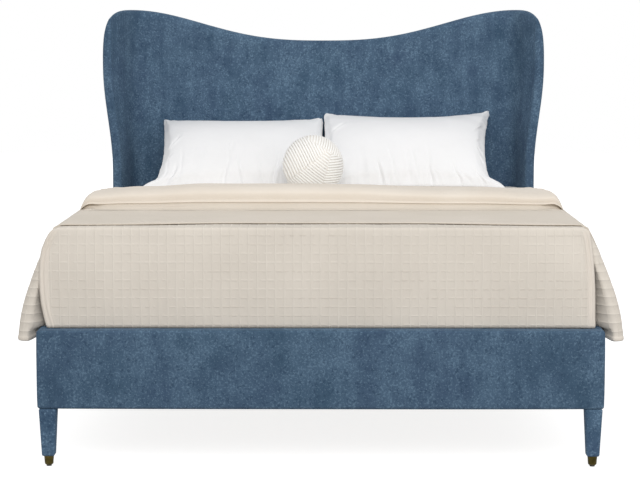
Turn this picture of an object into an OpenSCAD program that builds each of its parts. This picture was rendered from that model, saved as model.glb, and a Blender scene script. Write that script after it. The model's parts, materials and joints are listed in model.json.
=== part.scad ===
// Upholstered queen bed: winged headboard, slatted timber base, mattress and bedding.
// Millimetres. X runs across the bed, +Y points to the head end, +Z is up.
// The origin is on the floor, under the middle of the whole bed.

/* [Mattress] */
// Width of the mattress
mattress_w = 1524; // [1370:2:1530]
// Length of the mattress
mattress_l = 2032; // [1900:2:2140]
// Thickness of the mattress
mattress_t = 300; // [230:5:340]
// Radius of the mattress's upright corners
mattress_corner_r = 60; // [30:5:90]
// How far the mattress sits below the top of the rails
mattress_sink = 45; // [30:1:60]

/* [Rails] */
// Height of the upholstered rails
rail_h = 228; // [210:1:260]
// Thickness of the upholstered rails
rail_t = 50; // [46:1:60]
// Thickness of the timber board inside a rail
board_t = 28; // [22:1:32]
// Padding over the top and bottom edges of a rail's board
edge_pad_t = 6; // [4:1:10]
// Padding on the inner face of a rail
inner_pad_t = 7; // [4:1:8]
// Radius of the rail's long padded edges
rail_edge_r = 6; // [2:1:9]

/* [Legs] */
// Height from the floor to the underside of the rails
leg_h = 172; // [150:1:200]
// Width of a leg at its top
leg_top_w = 51; // [44:1:56]
// Width of a leg at its foot
leg_foot_w = 37; // [34:1:42]
// How far a leg is set in from the rail's outer face
leg_inset = 3; // [1:1:6]
// Height of the metal ferrule
ferrule_h = 27; // [18:1:36]
// Diameter of the ferrule at its top
ferrule_top_d = 29; // [24:1:32]
// Diameter of the ferrule at its foot
ferrule_foot_d = 25; // [20:1:28]
// Diameter of the glide under the ferrule
glide_d = 15; // [10:1:18]
// Height of the glide
glide_h = 4; // [3:1:6]

/* [Headboard] */
// Height of the headboard at its two crowns
crown_h = 1342; // [1250:1:1450]
// How far the top edge dips between the crowns
dip_drop = 118; // [80:1:200]
// How far each crown lies inside the side rail's inner face
crown_in = 22.5; // [15:0.5:60]
// How far the ears stand out beyond the side rails, where they are widest
ear_out = 27.5; // [16:0.5:50]
// How far below the crowns the ears are widest
ear_drop = 215; // [160:1:280]
// How far the wings' outer face is set in from the side rail's, low down
wing_low_in = 6.5; // [1.5:0.5:10]
// How far below the crowns the wings begin to swell outward
swell_drop = 612; // [540:1:680]
// Thickness of the padded headboard panel
panel_t = 90; // [84:1:110]
// Padding on the front of the panel
front_pad_t = 25; // [15:1:30]
// Padding round the edges of the panel
side_pad_t = 12; // [8:1:16]
// How far the wings stand forward of the panel
wing_depth = 145; // [110:1:180]
// Thickness of a padded wing
wing_t = 38; // [34:1:40]
// Radius of the hollow where the panel runs into a wing
crease_r = 42; // [25:1:50]
// Thickness of the panel's plywood and of the wing boards
ply_t = 18; // [12:1:18]
// Thickness of the headboard's timber uprights and crossbars
stile_t = 42; // [34:1:42]
// Width of the headboard's uprights
stile_w = 58; // [45:1:70]
// Width of the headboard's crossbars
crossbar_w = 90; // [60:1:120]
// Thickness of the cover over the headboard's back
back_t = 3; // [2:1:5]

/* [Base] */
// Thickness of a slat
slat_t = 18; // [14:1:22]
// Width of a slat
slat_w = 70; // [50:1:90]
// Width of the ledge that the slats rest on
ledge_w = 30; // [22:1:36]
// Height of the ledge
ledge_h = 32; // [24:1:36]
// Width of the centre beam
beam_w = 45; // [38:1:60]
// Height of the centre beam
beam_h = 75; // [60:1:90]
// Thickness of the steel of the hangers and corner brackets
steel_t = 3; // [2:0.5:4]
// Length of each arm of a corner bracket
bracket_arm = 60; // [50:1:80]
// Height of a corner bracket
bracket_h = 96; // [80:1:100]
// Width of a square centre leg
centre_leg_w = 45; // [36:1:60]
// Diameter of a levelling foot's pad
foot_pad_d = 40; // [30:1:50]
// Thickness of a levelling foot's pad
foot_pad_t = 9; // [6:1:12]
// Diameter of a levelling foot's threaded stem
foot_stem_d = 10; // [8:1:12]
// Distance that a levelling foot screws out
foot_travel = 12; // [6:1:16]

/* [Fasteners] */
// Diameter of the bolts
bolt_d = 8; // [6:1:10]
// Width across the corners of a bolt's head
bolt_head_d = 15; // [12:1:17]
// Height of a bolt's head
bolt_head_h = 5; // [4:0.5:6]
// Diameter of the wood screws
screw_d = 4; // [3:0.5:5]
// Diameter of a wood screw's head
screw_head_d = 8; // [6:0.5:10]
// Height of a wood screw's head
screw_head_h = 2.5; // [2:0.5:3]

/* [Bedding] */
// Thickness of the fitted sheet
sheet_t = 2; // [1:0.5:3]
// Thickness of the comforter under the quilt
comforter_t = 26; // [18:1:34]
// Thickness of the quilt
quilt_t = 9; // [6:0.5:12]
// Thickness of a hanging side of the quilt
flap_t = 12; // [8:1:15]
// How far the quilt's top edge stands out beside the mattress
edge_out = 6; // [4:1:10]
// How far the quilt's hems stand out beside the mattress
hem_out = 117; // [106:1:150]
// How far the quilt hangs below its top
quilt_drop = 332; // [290:2:350]
// How far the quilt's tucked front stands out beside the mattress
front_out = 49; // [36:1:52]
// Thickness of the quilt's turned-back end
turn_t = 6; // [4:1:10]
// How far the turned-back edge lies from the foot of the bed
lip_from_foot = 157; // [120:1:300]
// How far the crest of the folded comforter lies from the foot of the bed
crest_from_foot = 633; // [560:1:760]
// Height of the folded comforter above the quilt
roll_h = 77; // [60:1:100]
// How far the folded comforter stands out beside the mattress
roll_out = 10; // [4:1:16]
// Length of fitted sheet left bare in front of the headboard
bare_l = 759; // [700:1:900]
// Width of a pillow
pillow_w = 650; // [600:5:680]
// Length of a pillow, from its bottom seam to its top seam
pillow_l = 450; // [400:2:480]
// Thickness of a pillow
pillow_t = 150; // [110:2:170]
// Angle at which the left pillow leans
left_lean = 27.5; // [26:0.5:40]
// Angle at which the right pillow leans
right_lean = 35.5; // [26:0.5:44]
// Diameter of the ball cushion
ball_d = 226; // [180:1:226]
// How far the ball cushion sits to the left of the middle
ball_x = 36; // [0:1:60]
// How far the middle of the ball cushion lies from the headboard
ball_from_head = 515; // [514:1:560]

/* [Clearances] */
// Gap between the fitted sheet and each side rail
side_gap = 3.5; // [2:0.5:10]
// Gap between the fitted sheet and the foot rail, which the quilt is tucked into
foot_gap = 16; // [15:1:30]
// Gap between the fitted sheet and the headboard
head_gap = 5; // [3:1:20]
// Gap under pieces that lift off
seat_gap = 0.3; // [0.2:0.1:0.5]
// Gap round bolts and screws in their holes
hole_gap = 0.3; // [0.2:0.1:0.5]
// Gap round a levelling foot's stem
stem_gap = 0.1; // [0.05:0.01:0.2]
// Gap between a wing and the side rail under it
wing_gap = 3; // [1:0.5:6]

/* [Hidden] */
$fn = 48;

// Colours of the finishes
velvet_blue = [0.27, 0.37, 0.46];
cover_grey = [0.2, 0.21, 0.23];
pine = [0.8, 0.68, 0.48];
plywood = [0.72, 0.58, 0.4];
dark_brass = [0.35, 0.28, 0.13];
zinc = [0.7, 0.71, 0.72];
black_nylon = [0.08, 0.08, 0.08];
ticking_white = [0.93, 0.92, 0.9];
quilt_greige = [0.8, 0.76, 0.7];
sheet_cream = [0.91, 0.86, 0.8];
pillow_white = [0.96, 0.96, 0.96];

// Heights, worked out from the floor up
rail_top = leg_h + rail_h;
mattress_z = rail_top - mattress_sink;
slat_top = mattress_z - seat_gap;
slat_z = slat_top - slat_t;
beam_z = slat_z - beam_h;
bed_top = mattress_z + mattress_t + sheet_t;
comforter_z = bed_top + seat_gap;
comforter_top = comforter_z + comforter_t;
quilt_z = comforter_top + seat_gap;
quilt_top = quilt_z + quilt_t;
turn_top = quilt_top + turn_t;
wing_z = rail_top + wing_gap;
dip_h = crown_h - dip_drop;
ear_z = crown_h - ear_drop;
swell_z = crown_h - swell_drop;
glide_top = glide_h;
leg_z = glide_h + ferrule_h;

// Places across and along the bed
inner_x = mattress_w / 2 + sheet_t + side_gap;
outer_x = inner_x + rail_t;
wing_in_x = inner_x + 0.5;
wing_low_x = outer_x - wing_low_in;
ear_x = outer_x + ear_out;
crown_x = inner_x - crown_in;
total_l = rail_t + foot_gap + mattress_l + 2 * sheet_t + head_gap + panel_t;
foot_y = -total_l / 2;
back_y = total_l / 2;
foot_in_y = foot_y + rail_t;
face_y = back_y - panel_t;
wing_front_y = face_y - wing_depth;
mattress_y = foot_in_y + foot_gap + sheet_t;
stile_y = face_y + front_pad_t + ply_t;
board_x = inner_x + inner_pad_t;
foot_board_y = foot_in_y - inner_pad_t - board_t;
leg_x = outer_x - leg_inset - leg_top_w / 2;
leg_foot_y = foot_y + leg_inset + leg_top_w / 2;
leg_head_y = back_y - leg_inset - leg_top_w / 2;
leg_places = [[-leg_x, leg_foot_y], [leg_x, leg_foot_y], [-leg_x, leg_head_y], [leg_x, leg_head_y]];

// Headboard frame
stile_x = wing_in_x - side_pad_t - stile_w;
stile_top = dip_h - 30;
crossbar_top_z = dip_h - 60 - crossbar_w;
wing_bolt_top_z = crossbar_top_z - 30;
wing_bolt_zs = [wing_z + 90, (wing_z + wing_bolt_top_z) / 2, wing_bolt_top_z];
wing_bolt_y = stile_y + stile_t / 2;

// Fastener lengths and places
bracket_z = slat_z - ledge_h - 12 - bracket_h;
bracket_bolt_zs = [bracket_z + 18, bracket_z + bracket_h - 18];
bracket_bolt_in = bracket_arm * 0.6;
bolt_hole_r = bolt_d / 2 + hole_gap;
rail_bolt_l = inner_pad_t + board_t - 4;
head_bolt_l = front_pad_t + ply_t + 25;
leg_bolt_reach = 42;

// Slats, shared out along the mattress
slat_count = 13;
slat_pitch = (mattress_l - slat_w) / (slat_count - 1);
slat_half = inner_x - 4;
ledge_end_gap = 6;
slat_screw_x = inner_x - ledge_w / 2;
ledge_screw_count = 7;
ledge_screw_z = slat_z - ledge_h / 2;
centre_leg_ys = [-140, 440];
stem_l = 62;
stem_z = foot_pad_t;
centre_leg_z = foot_pad_t + foot_travel + 8;

// Bedding
edge_x = mattress_w / 2 + edge_out;
hem_x = mattress_w / 2 + hem_out;
front_x = mattress_w / 2 + front_out;
roll_x = mattress_w / 2 + roll_out;
hem_z = quilt_top - quilt_drop;
lip_y = foot_y + lip_from_foot;
crest_y = foot_y + crest_from_foot;
roll_back_y = face_y - bare_l;
roll_wrap = 15;
quilt_head_y = roll_back_y - roll_wrap;
roll_z = turn_top + seat_gap;
crest_z = turn_top + roll_h;
roll_nose_r = (crest_z - roll_z) / 2;

// Height of the headboard's top edge at a distance from the middle, kept a margin inside it
function rise_share(x) = (1 - cos(180 * pow(x / crown_x, 1.35))) / 2;
function ear_share(x, margin) =
    pow(max(0, 1 - pow((x - crown_x) / (ear_x - margin - crown_x), 3)), 1 / 3);
function top_edge(x, margin) = x <= crown_x
    ? dip_h + (crown_h - dip_h) * rise_share(x) - margin
    : ear_z + (crown_h - margin - ear_z) * ear_share(x, margin);

// Half width over the wings at a height
function swell_share(z) = min(1, max(0, (z - swell_z) / (ear_z - swell_z)));
function wing_x(z) = wing_low_x + (ear_x - wing_low_x) * (1 - cos(180 * swell_share(z))) / 2;

// Points of an arc in a plane
function arc(cx, cy, r, a0, a1, n) = [for (i = [0:n])
    let (a = a0 + (a1 - a0) * i / n) [cx + r * cos(a), cy + r * sin(a)]];

// A closed solid through rings that all have the same number of points
module skin(rings) {
    n = len(rings[0]);
    last = len(rings) - 1;
    points = [for (ring = rings) for (p = ring) p];
    walls = [for (k = [0:last - 1]) for (i = [0:n - 1]) for (half = [0, 1])
        let (j = (i + 1) % n)
        half == 0 ? [k * n + i, (k + 1) * n + i, k * n + j]
            : [k * n + j, (k + 1) * n + i, (k + 1) * n + j]];
    low = [[for (i = [0:n - 1]) i]];
    high = [[for (i = [n - 1:-1:0]) last * n + i]];
    polyhedron(points = points, faces = concat(walls, low, high), convexity = 6);
}

module box(low, high) {
    translate(low) cube([high[0] - low[0], high[1] - low[1], high[2] - low[2]]);
}

// A copy on each side of the bed
module both_sides() {
    children();
    mirror([1, 0, 0]) children();
}

// An outline drawn in X and Z, made solid between two places along Y
module front_slab(y0, y1) {
    translate([0, y1, 0]) rotate([90, 0, 0]) linear_extrude(y1 - y0) children();
}

// An outline drawn in Y and Z, made solid between two places along X
module side_slab(x0, x1) {
    translate([x0, 0, 0]) rotate([90, 0, 90]) linear_extrude(x1 - x0) children();
}

module rounded_rect(w, h, r) {
    translate([r, 0]) square([w - 2 * r, h]);
    translate([0, r]) square([w, h - 2 * r]);
    for (x = [r, w - r]) for (y = [r, h - r]) translate([x, y]) circle(r);
}

// Everything below the headboard's top edge, kept a margin inside it
module crown_outline(half_w, low_z, margin) {
    steps = 32;
    top = [for (i = [-steps:steps])
        let (x = -half_w * i / steps) [x, top_edge(abs(x), margin)]];
    polygon(concat([[-half_w, low_z], [half_w, low_z]], top));
}

// The panel is wide where the rails butt against it, and narrow between the wings
module panel_outline(margin) {
    crown_outline(wing_in_x - margin, leg_h + margin / 2, margin);
    translate([margin - outer_x, leg_h + margin / 2])
        square([2 * (outer_x - margin), rail_h - margin]);
}

// Headboard bolts through the corner brackets, seen from the front
module head_bolt_holes(y0, y1) {
    for (x = [-1, 1]) for (z = bracket_bolt_zs)
        translate([x * (inner_x - bracket_bolt_in), y0, z])
            rotate([-90, 0, 0]) cylinder(h = y1 - y0, r = bolt_hole_r);
}

// Leg bolts run straight up into the rail or the headboard
module leg_bolt_holes() {
    for (p = leg_places) translate([p[0], p[1], leg_h - leg_bolt_reach - 1])
        cylinder(h = 2 * leg_bolt_reach + 2, r = bolt_hole_r);
}

module wing_bolt_holes() {
    both_sides() for (z = wing_bolt_zs) translate([stile_x - 1, wing_bolt_y, z])
        rotate([0, 90, 0]) cylinder(h = wing_in_x + wing_t / 2 + ply_t / 2 - stile_x + 2,
            r = bolt_hole_r);
}

module headboard_padding() {
    color(velvet_blue) difference() {
        front_slab(face_y, back_y) panel_outline(0);
        front_slab(face_y + front_pad_t, back_y + 1) panel_outline(side_pad_t);
        head_bolt_holes(face_y - 1, back_y);
        head_hanger_screw_places() screw_hole(head_screw_l);
        leg_bolt_holes();
        wing_bolt_holes();
    }
}

module headboard_board() {
    color(plywood) difference() {
        front_slab(face_y + front_pad_t, stile_y) panel_outline(side_pad_t);
        head_bolt_holes(face_y, back_y);
        head_hanger_screw_places() screw_hole(head_screw_l);
    }
}

module headboard_stile() {
    low_z = leg_h + side_pad_t / 2;
    low_h = rail_h - side_pad_t;
    color(pine) difference() {
        union() {
            box([stile_x, stile_y, low_z], [stile_x + stile_w, stile_y + stile_t, stile_top]);
            box([stile_x + stile_w, stile_y, low_z],
                [outer_x - side_pad_t, stile_y + stile_t, low_z + low_h]);
        }
        head_bolt_holes(face_y, stile_y + stile_t + 1);
        leg_bolt_holes();
        wing_bolt_holes();
    }
}

module headboard_crossbar(z) {
    color(pine) box([-stile_x, stile_y, z], [stile_x, stile_y + stile_t, z + crossbar_w]);
}

module headboard_back() {
    color(cover_grey) front_slab(back_y - back_t, back_y) panel_outline(side_pad_t);
}

// One level of the right wing, seen from above, with its hollow towards the panel
function wing_ring(z) = [for (p = concat(
    [[wing_in_x + wing_t, back_y], [wing_in_x, back_y], [wing_in_x, face_y]],
    arc(wing_in_x - crease_r, face_y - crease_r, crease_r, 90, 0, 5),
    arc(wing_x(z) - wing_t / 2, wing_front_y + wing_t / 2, wing_t / 2, -180, 0, 6)))
    [p[0], p[1], z]];

// One level of the plywood inside the right wing
function wing_board_ring(z) = let (
    mid_back = wing_in_x + wing_t / 2,
    mid_front = wing_x(z) - wing_t / 2,
    y0 = wing_front_y + side_pad_t,
    y1 = back_y - side_pad_t)
    [[mid_front - ply_t / 2, y0, z], [mid_front + ply_t / 2, y0, z],
        [mid_back + ply_t / 2, y1, z], [mid_back - ply_t / 2, y1, z]];

// Levels at which the wing changes shape
wing_steps = 8;
wing_levels = concat([for (i = [0:wing_steps]) swell_z + (ear_z - swell_z) * i / wing_steps],
    [crown_h + 5]);

module wing_board() {
    levels = concat([wing_z + side_pad_t], wing_levels);
    intersection() {
        skin([for (z = levels) wing_board_ring(z)]);
        front_slab(wing_front_y - 1, back_y + 1)
            crown_outline(ear_x - side_pad_t, 0, side_pad_t);
    }
}

module wing() {
    color(velvet_blue) difference() {
        intersection() {
            skin([for (z = concat([wing_z], wing_levels)) wing_ring(z)]);
            front_slab(wing_front_y - 1, back_y + 1) crown_outline(ear_x, 0, 0);
        }
        wing_board();
        wing_bolt_holes();
    }
}

module drilled_wing_board() {
    color(plywood) difference() {
        wing_board();
        wing_bolt_holes();
    }
}

// A bolt that points along +Z, with the underside of its head at 0
module bolt(l) {
    cylinder(h = l, r = bolt_d / 2);
    translate([0, 0, -bolt_head_h]) cylinder(h = bolt_head_h, r = bolt_head_d / 2, $fn = 6);
}

module wing_bolts() {
    color(zinc) both_sides() for (z = wing_bolt_zs) translate([stile_x, wing_bolt_y, z])
        rotate([0, 90, 0]) bolt(wing_in_x + wing_t / 2 - stile_x);
}

// Bolts through a corner bracket into the inner face of a side rail
module side_bolt_holes() {
    both_sides() for (y = [foot_in_y + bracket_bolt_in, face_y - bracket_bolt_in])
        for (z = bracket_bolt_zs) translate([inner_x - 10, y, z])
            rotate([0, 90, 0]) cylinder(h = rail_bolt_l + 12, r = bolt_hole_r);
}

// Bolts through a corner bracket into the inner face of the foot rail
module foot_bolt_holes() {
    for (x = [-1, 1]) for (z = bracket_bolt_zs)
        translate([x * (inner_x - bracket_bolt_in), foot_in_y + 10, z])
            rotate([90, 0, 0]) cylinder(h = rail_bolt_l + 12, r = bolt_hole_r);
}

// Pilot holes for the screws that hold the ledges to the side boards
module ledge_screw_places() {
    run = face_y - foot_in_y - 2 * ledge_end_gap;
    for (i = [0:ledge_screw_count - 1])
        translate([inner_x - ledge_w,
            foot_in_y + ledge_end_gap + run * (i + 0.5) / ledge_screw_count, ledge_screw_z])
            rotate([0, 90, 0]) children();
}

// Places of the screws through the plates of the beam hangers, pointing along +Z
hanger_flange = 26;
hanger_screw_x = beam_w / 2 + steel_t + hanger_flange / 2;
hanger_screw_zs = [beam_z + beam_h * 0.25, beam_z + beam_h * 0.75];
module hanger_screw_places(y, turn) {
    for (x = [-hanger_screw_x, hanger_screw_x]) for (z = hanger_screw_zs)
        translate([x, y, z]) rotate([turn, 0, 0]) children();
}

module foot_hanger_screw_places() {
    hanger_screw_places(foot_in_y + steel_t, 90) children();
}

module head_hanger_screw_places() {
    hanger_screw_places(face_y - steel_t, -90) children();
}

module slat_screw_places(i) {
    both_sides() translate([slat_screw_x, mattress_y + slat_w / 2 + slat_pitch * i, slat_top])
        rotate([180, 0, 0]) children();
}

// A countersunk wood screw, flush with 0, that points along +Z
module screw(l) {
    cylinder(h = l, r = screw_d / 2);
    cylinder(h = screw_head_h, r = screw_head_d / 2);
}

module screw_hole(l) {
    translate([0, 0, -1]) cylinder(h = l + 2, r = screw_d / 2 + hole_gap);
    translate([0, 0, -1]) cylinder(h = screw_head_h + 1, r = screw_head_d / 2 + hole_gap);
}

ledge_screw_l = ledge_w + inner_pad_t + 16;
foot_screw_l = steel_t + inner_pad_t + 17;
head_screw_l = steel_t + front_pad_t + ply_t - 4;
slat_screw_l = slat_t + 18;

module side_rail() {
    color(velvet_blue) difference() {
        translate([inner_x, face_y, leg_h]) rotate([90, 0, 0])
            linear_extrude(face_y - foot_in_y) rounded_rect(rail_t, rail_h, rail_edge_r);
        box([board_x, foot_in_y - 1, leg_h + edge_pad_t],
            [board_x + board_t, face_y + 1, rail_top - edge_pad_t]);
        side_bolt_holes();
        ledge_screw_places() screw_hole(ledge_screw_l);
    }
}

module side_board() {
    color(pine) difference() {
        box([board_x, foot_in_y, leg_h + edge_pad_t],
            [board_x + board_t, face_y, rail_top - edge_pad_t]);
        side_bolt_holes();
        ledge_screw_places() screw_hole(ledge_screw_l);
    }
}

foot_board_end = outer_x - side_pad_t;

module foot_rail() {
    color(velvet_blue) difference() {
        side_slab(-outer_x, outer_x) translate([foot_y, leg_h])
            rounded_rect(rail_t, rail_h, rail_edge_r);
        box([-foot_board_end, foot_board_y, leg_h + edge_pad_t],
            [foot_board_end, foot_board_y + board_t, rail_top - edge_pad_t]);
        foot_bolt_holes();
        leg_bolt_holes();
        foot_hanger_screw_places() screw_hole(foot_screw_l);
    }
}

module foot_board() {
    color(pine) difference() {
        box([-foot_board_end, foot_board_y, leg_h + edge_pad_t],
            [foot_board_end, foot_board_y + board_t, rail_top - edge_pad_t]);
        foot_bolt_holes();
        leg_bolt_holes();
        foot_hanger_screw_places() screw_hole(foot_screw_l);
    }
}

module leg_taper() {
    polygon([[-leg_foot_w / 2, leg_z], [leg_foot_w / 2, leg_z], [leg_top_w / 2, leg_h],
        [-leg_top_w / 2, leg_h]]);
}

// Square tapered leg at one of the four places
module leg(i) {
    p = leg_places[i];
    color(velvet_blue) difference() {
        translate([p[0], p[1], 0]) intersection() {
            front_slab(-leg_top_w, leg_top_w) leg_taper();
            side_slab(-leg_top_w, leg_top_w) leg_taper();
        }
        leg_bolt_holes();
    }
}

// Tapered metal ferrule under a leg
module ferrule(i) {
    p = leg_places[i];
    chamfer = 3;
    color(dark_brass) translate([p[0], p[1], glide_top]) rotate_extrude()
        polygon([[0, 0], [ferrule_foot_d / 2 - chamfer, 0], [ferrule_foot_d / 2, chamfer],
            [ferrule_top_d / 2, ferrule_h], [0, ferrule_h]]);
}

module leg_glides() {
    color(black_nylon) for (p = leg_places) translate([p[0], p[1], 0])
        cylinder(h = glide_h, r = glide_d / 2);
}

module leg_bolts() {
    color(zinc) for (p = leg_places) translate([p[0], p[1], leg_h - leg_bolt_reach])
        cylinder(h = 2 * leg_bolt_reach, r = bolt_d / 2);
}

module slat_ledge() {
    color(pine) difference() {
        box([inner_x - ledge_w, foot_in_y + ledge_end_gap, slat_z - ledge_h],
            [inner_x, face_y - ledge_end_gap, slat_z]);
        ledge_screw_places() screw_hole(ledge_screw_l);
        for (i = [0:slat_count - 1]) slat_screw_places(i) screw_hole(slat_screw_l);
    }
}

module slat(i) {
    y = mattress_y + slat_pitch * i;
    color(pine) difference() {
        box([-slat_half, y, slat_z], [slat_half, y + slat_w, slat_top]);
        slat_screw_places(i) screw_hole(slat_screw_l);
    }
}

module centre_beam() {
    color(pine) difference() {
        box([-beam_w / 2, foot_in_y + steel_t, beam_z],
            [beam_w / 2, face_y - steel_t, beam_z + beam_h]);
        for (y = centre_leg_ys) translate([0, y, beam_z - 1])
            cylinder(h = 41, r = bolt_hole_r);
    }
}

// A steel shoe at each end of the centre beam
module beam_hanger(y0) {
    shoe_l = 45;
    shoe_w = beam_w + 2 * steel_t;
    shoe_z = beam_z - steel_t;
    shoe_h = beam_h * 0.8;
    plate_w = shoe_w + 2 * hanger_flange;
    difference() {
        union() {
            box([-plate_w / 2, y0, shoe_z], [plate_w / 2, y0 + steel_t, slat_z - 2]);
            box([-shoe_w / 2, y0, shoe_z], [shoe_w / 2, y0 + shoe_l, shoe_z + shoe_h]);
        }
        box([-beam_w / 2, y0 + steel_t, beam_z],
            [beam_w / 2, y0 + shoe_l + 1, beam_z + beam_h + 1]);
    }
}

module beam_hangers() {
    color(zinc) difference() {
        union() {
            beam_hanger(foot_in_y);
            mirror([0, 1, 0]) beam_hanger(-face_y);
        }
        foot_hanger_screw_places() screw_hole(foot_screw_l);
        head_hanger_screw_places() screw_hole(head_screw_l);
    }
}

// A square leg under the centre beam, bored from below for its levelling foot
module centre_leg(y) {
    w = centre_leg_w / 2;
    color(pine) difference() {
        box([-w, y - w, centre_leg_z], [w, y + w, beam_z]);
        translate([0, y, 0]) cylinder(h = stem_z + stem_l + 4, r = foot_stem_d / 2 + stem_gap);
        translate([0, y, beam_z - 45]) cylinder(h = 50, r = bolt_hole_r);
    }
}

module levelling_foot(y) {
    color(black_nylon) translate([0, y, 0]) {
        cylinder(h = foot_pad_t, r = foot_pad_d / 2);
        cylinder(h = stem_z + stem_l, r = foot_stem_d / 2);
    }
}

// An angle of steel in one lower corner of the frame
module corner_bracket(y0) {
    thick = steel_t + 1;
    box([inner_x - thick, y0, bracket_z], [inner_x, y0 + bracket_arm, bracket_z + bracket_h]);
    box([inner_x - bracket_arm, y0, bracket_z], [inner_x, y0 + thick, bracket_z + bracket_h]);
}

module corner_brackets() {
    color(zinc) difference() {
        both_sides() {
            corner_bracket(foot_in_y);
            mirror([0, 1, 0]) corner_bracket(-face_y);
        }
        side_bolt_holes();
        foot_bolt_holes();
        head_bolt_holes(face_y - 10, face_y + 10);
    }
}

module frame_bolts() {
    thick = steel_t + 1;
    color(zinc) both_sides() for (z = bracket_bolt_zs) {
        for (y = [foot_in_y + bracket_bolt_in, face_y - bracket_bolt_in])
            translate([inner_x - thick, y, z]) rotate([0, 90, 0]) bolt(thick + rail_bolt_l);
        translate([inner_x - bracket_bolt_in, foot_in_y + thick, z])
            rotate([90, 0, 0]) bolt(thick + rail_bolt_l);
        translate([inner_x - bracket_bolt_in, face_y - thick, z])
            rotate([-90, 0, 0]) bolt(thick + head_bolt_l);
    }
    color(zinc) for (y = centre_leg_ys) translate([0, y, beam_z - 40])
        cylinder(h = 75, r = bolt_d / 2);
}

module base_screws() {
    color(zinc) both_sides() ledge_screw_places() screw(ledge_screw_l);
    color(zinc) foot_hanger_screw_places() screw(foot_screw_l);
    color(zinc) head_hanger_screw_places() screw(head_screw_l);
    color(zinc) for (i = [0:slat_count - 1]) slat_screw_places(i) screw(slat_screw_l);
}

// The mattress's plan, grown by a margin
module mattress_plan(margin) {
    translate([-mattress_w / 2 - margin, mattress_y - margin])
        rounded_rect(mattress_w + 2 * margin, mattress_l + 2 * margin, mattress_corner_r + margin);
}

module mattress() {
    color(ticking_white) translate([0, 0, mattress_z]) linear_extrude(mattress_t)
        mattress_plan(0);
}

module fitted_sheet() {
    color(sheet_cream) difference() {
        translate([0, 0, mattress_z + 10]) linear_extrude(mattress_t + sheet_t - 10)
            mattress_plan(sheet_t);
        translate([0, 0, mattress_z]) linear_extrude(mattress_t) mattress_plan(0);
    }
}

// Half width over the quilt's hanging side, at a depth below the quilt's top
function flap_x(drop) = edge_x + (hem_x - edge_x) * pow(drop / quilt_drop, 0.62);
flap_shares = [0, 0.03, 0.12, 0.3, 0.6, 1];
comforter_shares = [0, 0.03, 0.12, 0.3, 0.6];

// One hanging side of the quilt, seen from the foot
module quilt_flap() {
    drops = [for (share = flap_shares) share * quilt_drop];
    inner = [for (share = flap_shares) share * (quilt_drop - quilt_t)];
    polygon(concat([for (d = drops) [flap_x(d), quilt_top - d]],
        [for (i = [len(inner) - 1:-1:0]) [flap_x(inner[i]) - flap_t, quilt_z - inner[i]]]));
}

// The comforter's hanging side, inside the quilt's
module comforter_flap() {
    gap_x = flap_t + seat_gap;
    clear_x = mattress_w / 2 + sheet_t + 1;
    outer = [for (share = comforter_shares) let (d = share * (quilt_drop - quilt_t))
        [flap_x(d) - gap_x, comforter_top - d]];
    low = outer[len(outer) - 1];
    polygon(concat(outer, [[low[0] - 18, low[1]], [clear_x, comforter_z - 18],
        [clear_x, comforter_z], [clear_x - 20, comforter_z]]));
}

// The tucked front of the quilt, which swells out between its top corners and the rail
front_shares = [[0, edge_x + 2], [0.2, front_x - 8], [0.45, front_x], [0.8, front_x - 4],
    [1, front_x - 22]];
module quilt_front() {
    low = rail_top + 1;
    half = [for (p = front_shares) [p[1], quilt_z - p[0] * (quilt_z - low)]];
    polygon(concat(half, [for (i = [len(half) - 1:-1:0]) [-half[i][0], half[i][1]]]));
}

// The end of a hanging side, turned in towards the front
module quilt_corner() {
    top_z = quilt_top - 60;
    polygon([[front_x - 12, top_z], [flap_x(60), top_z], [flap_x(quilt_drop * 0.5),
        quilt_top - quilt_drop * 0.5], [hem_x - 1, hem_z + 8], [outer_x + 1.5, hem_z + 8],
        [outer_x + 1.5, rail_top + 1], [front_x - 12, rail_top + 1]]);
}

module quilt() {
    front_y = foot_in_y + 1;
    panel_t = foot_gap / 2;
    color(quilt_greige) union() {
        box([-edge_x, front_y, quilt_z], [edge_x, quilt_head_y, quilt_top]);
        box([-edge_x, lip_y, quilt_top], [edge_x, quilt_head_y, turn_top]);
        both_sides() front_slab(front_y + 8, quilt_head_y) quilt_flap();
        both_sides() front_slab(front_y + 6, front_y + 18) quilt_corner();
        front_slab(front_y, front_y + panel_t) quilt_front();
        box([-inner_x + 6, front_y, mattress_z + 10], [inner_x - 6, front_y + panel_t, quilt_z]);
    }
}

// The folded comforter, seen from the side
module roll_outline() {
    nose_y = crest_y - 20;
    polygon(concat(arc(nose_y, roll_z + roll_nose_r, roll_nose_r, -90, -270, 8),
        [[crest_y, crest_z], [roll_back_y - 80, crest_z - 52], [roll_back_y - 15, crest_z - 62],
            [roll_back_y, crest_z - 80], [roll_back_y, comforter_z],
            [quilt_head_y + seat_gap, comforter_z], [quilt_head_y + seat_gap, roll_z]]));
}

// The same fold seen from the foot, with rounded ends
module roll_front_outline() {
    end_r = 55;
    half = concat(arc(roll_x - end_r, crest_z - end_r, end_r, 90, 0, 6), [[roll_x, comforter_z]]);
    polygon(concat(half, [for (i = [len(half) - 1:-1:0]) [-half[i][0], half[i][1]]]));
}

module comforter() {
    front_y = foot_in_y + foot_gap / 2 + 1.5;
    half_x = flap_x(0) - flap_t - seat_gap;
    color(sheet_cream) union() {
        intersection() {
            side_slab(-roll_x, roll_x) roll_outline();
            front_slab(crest_y - 200, roll_back_y + 1) roll_front_outline();
        }
        box([-half_x, front_y, comforter_z], [half_x, roll_back_y, comforter_top]);
        both_sides() front_slab(front_y + 20, roll_back_y) comforter_flap();
        box([-half_x, front_y, mattress_z + 20],
            [half_x, mattress_y - sheet_t - seat_gap, comforter_top]);
    }
}

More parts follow.
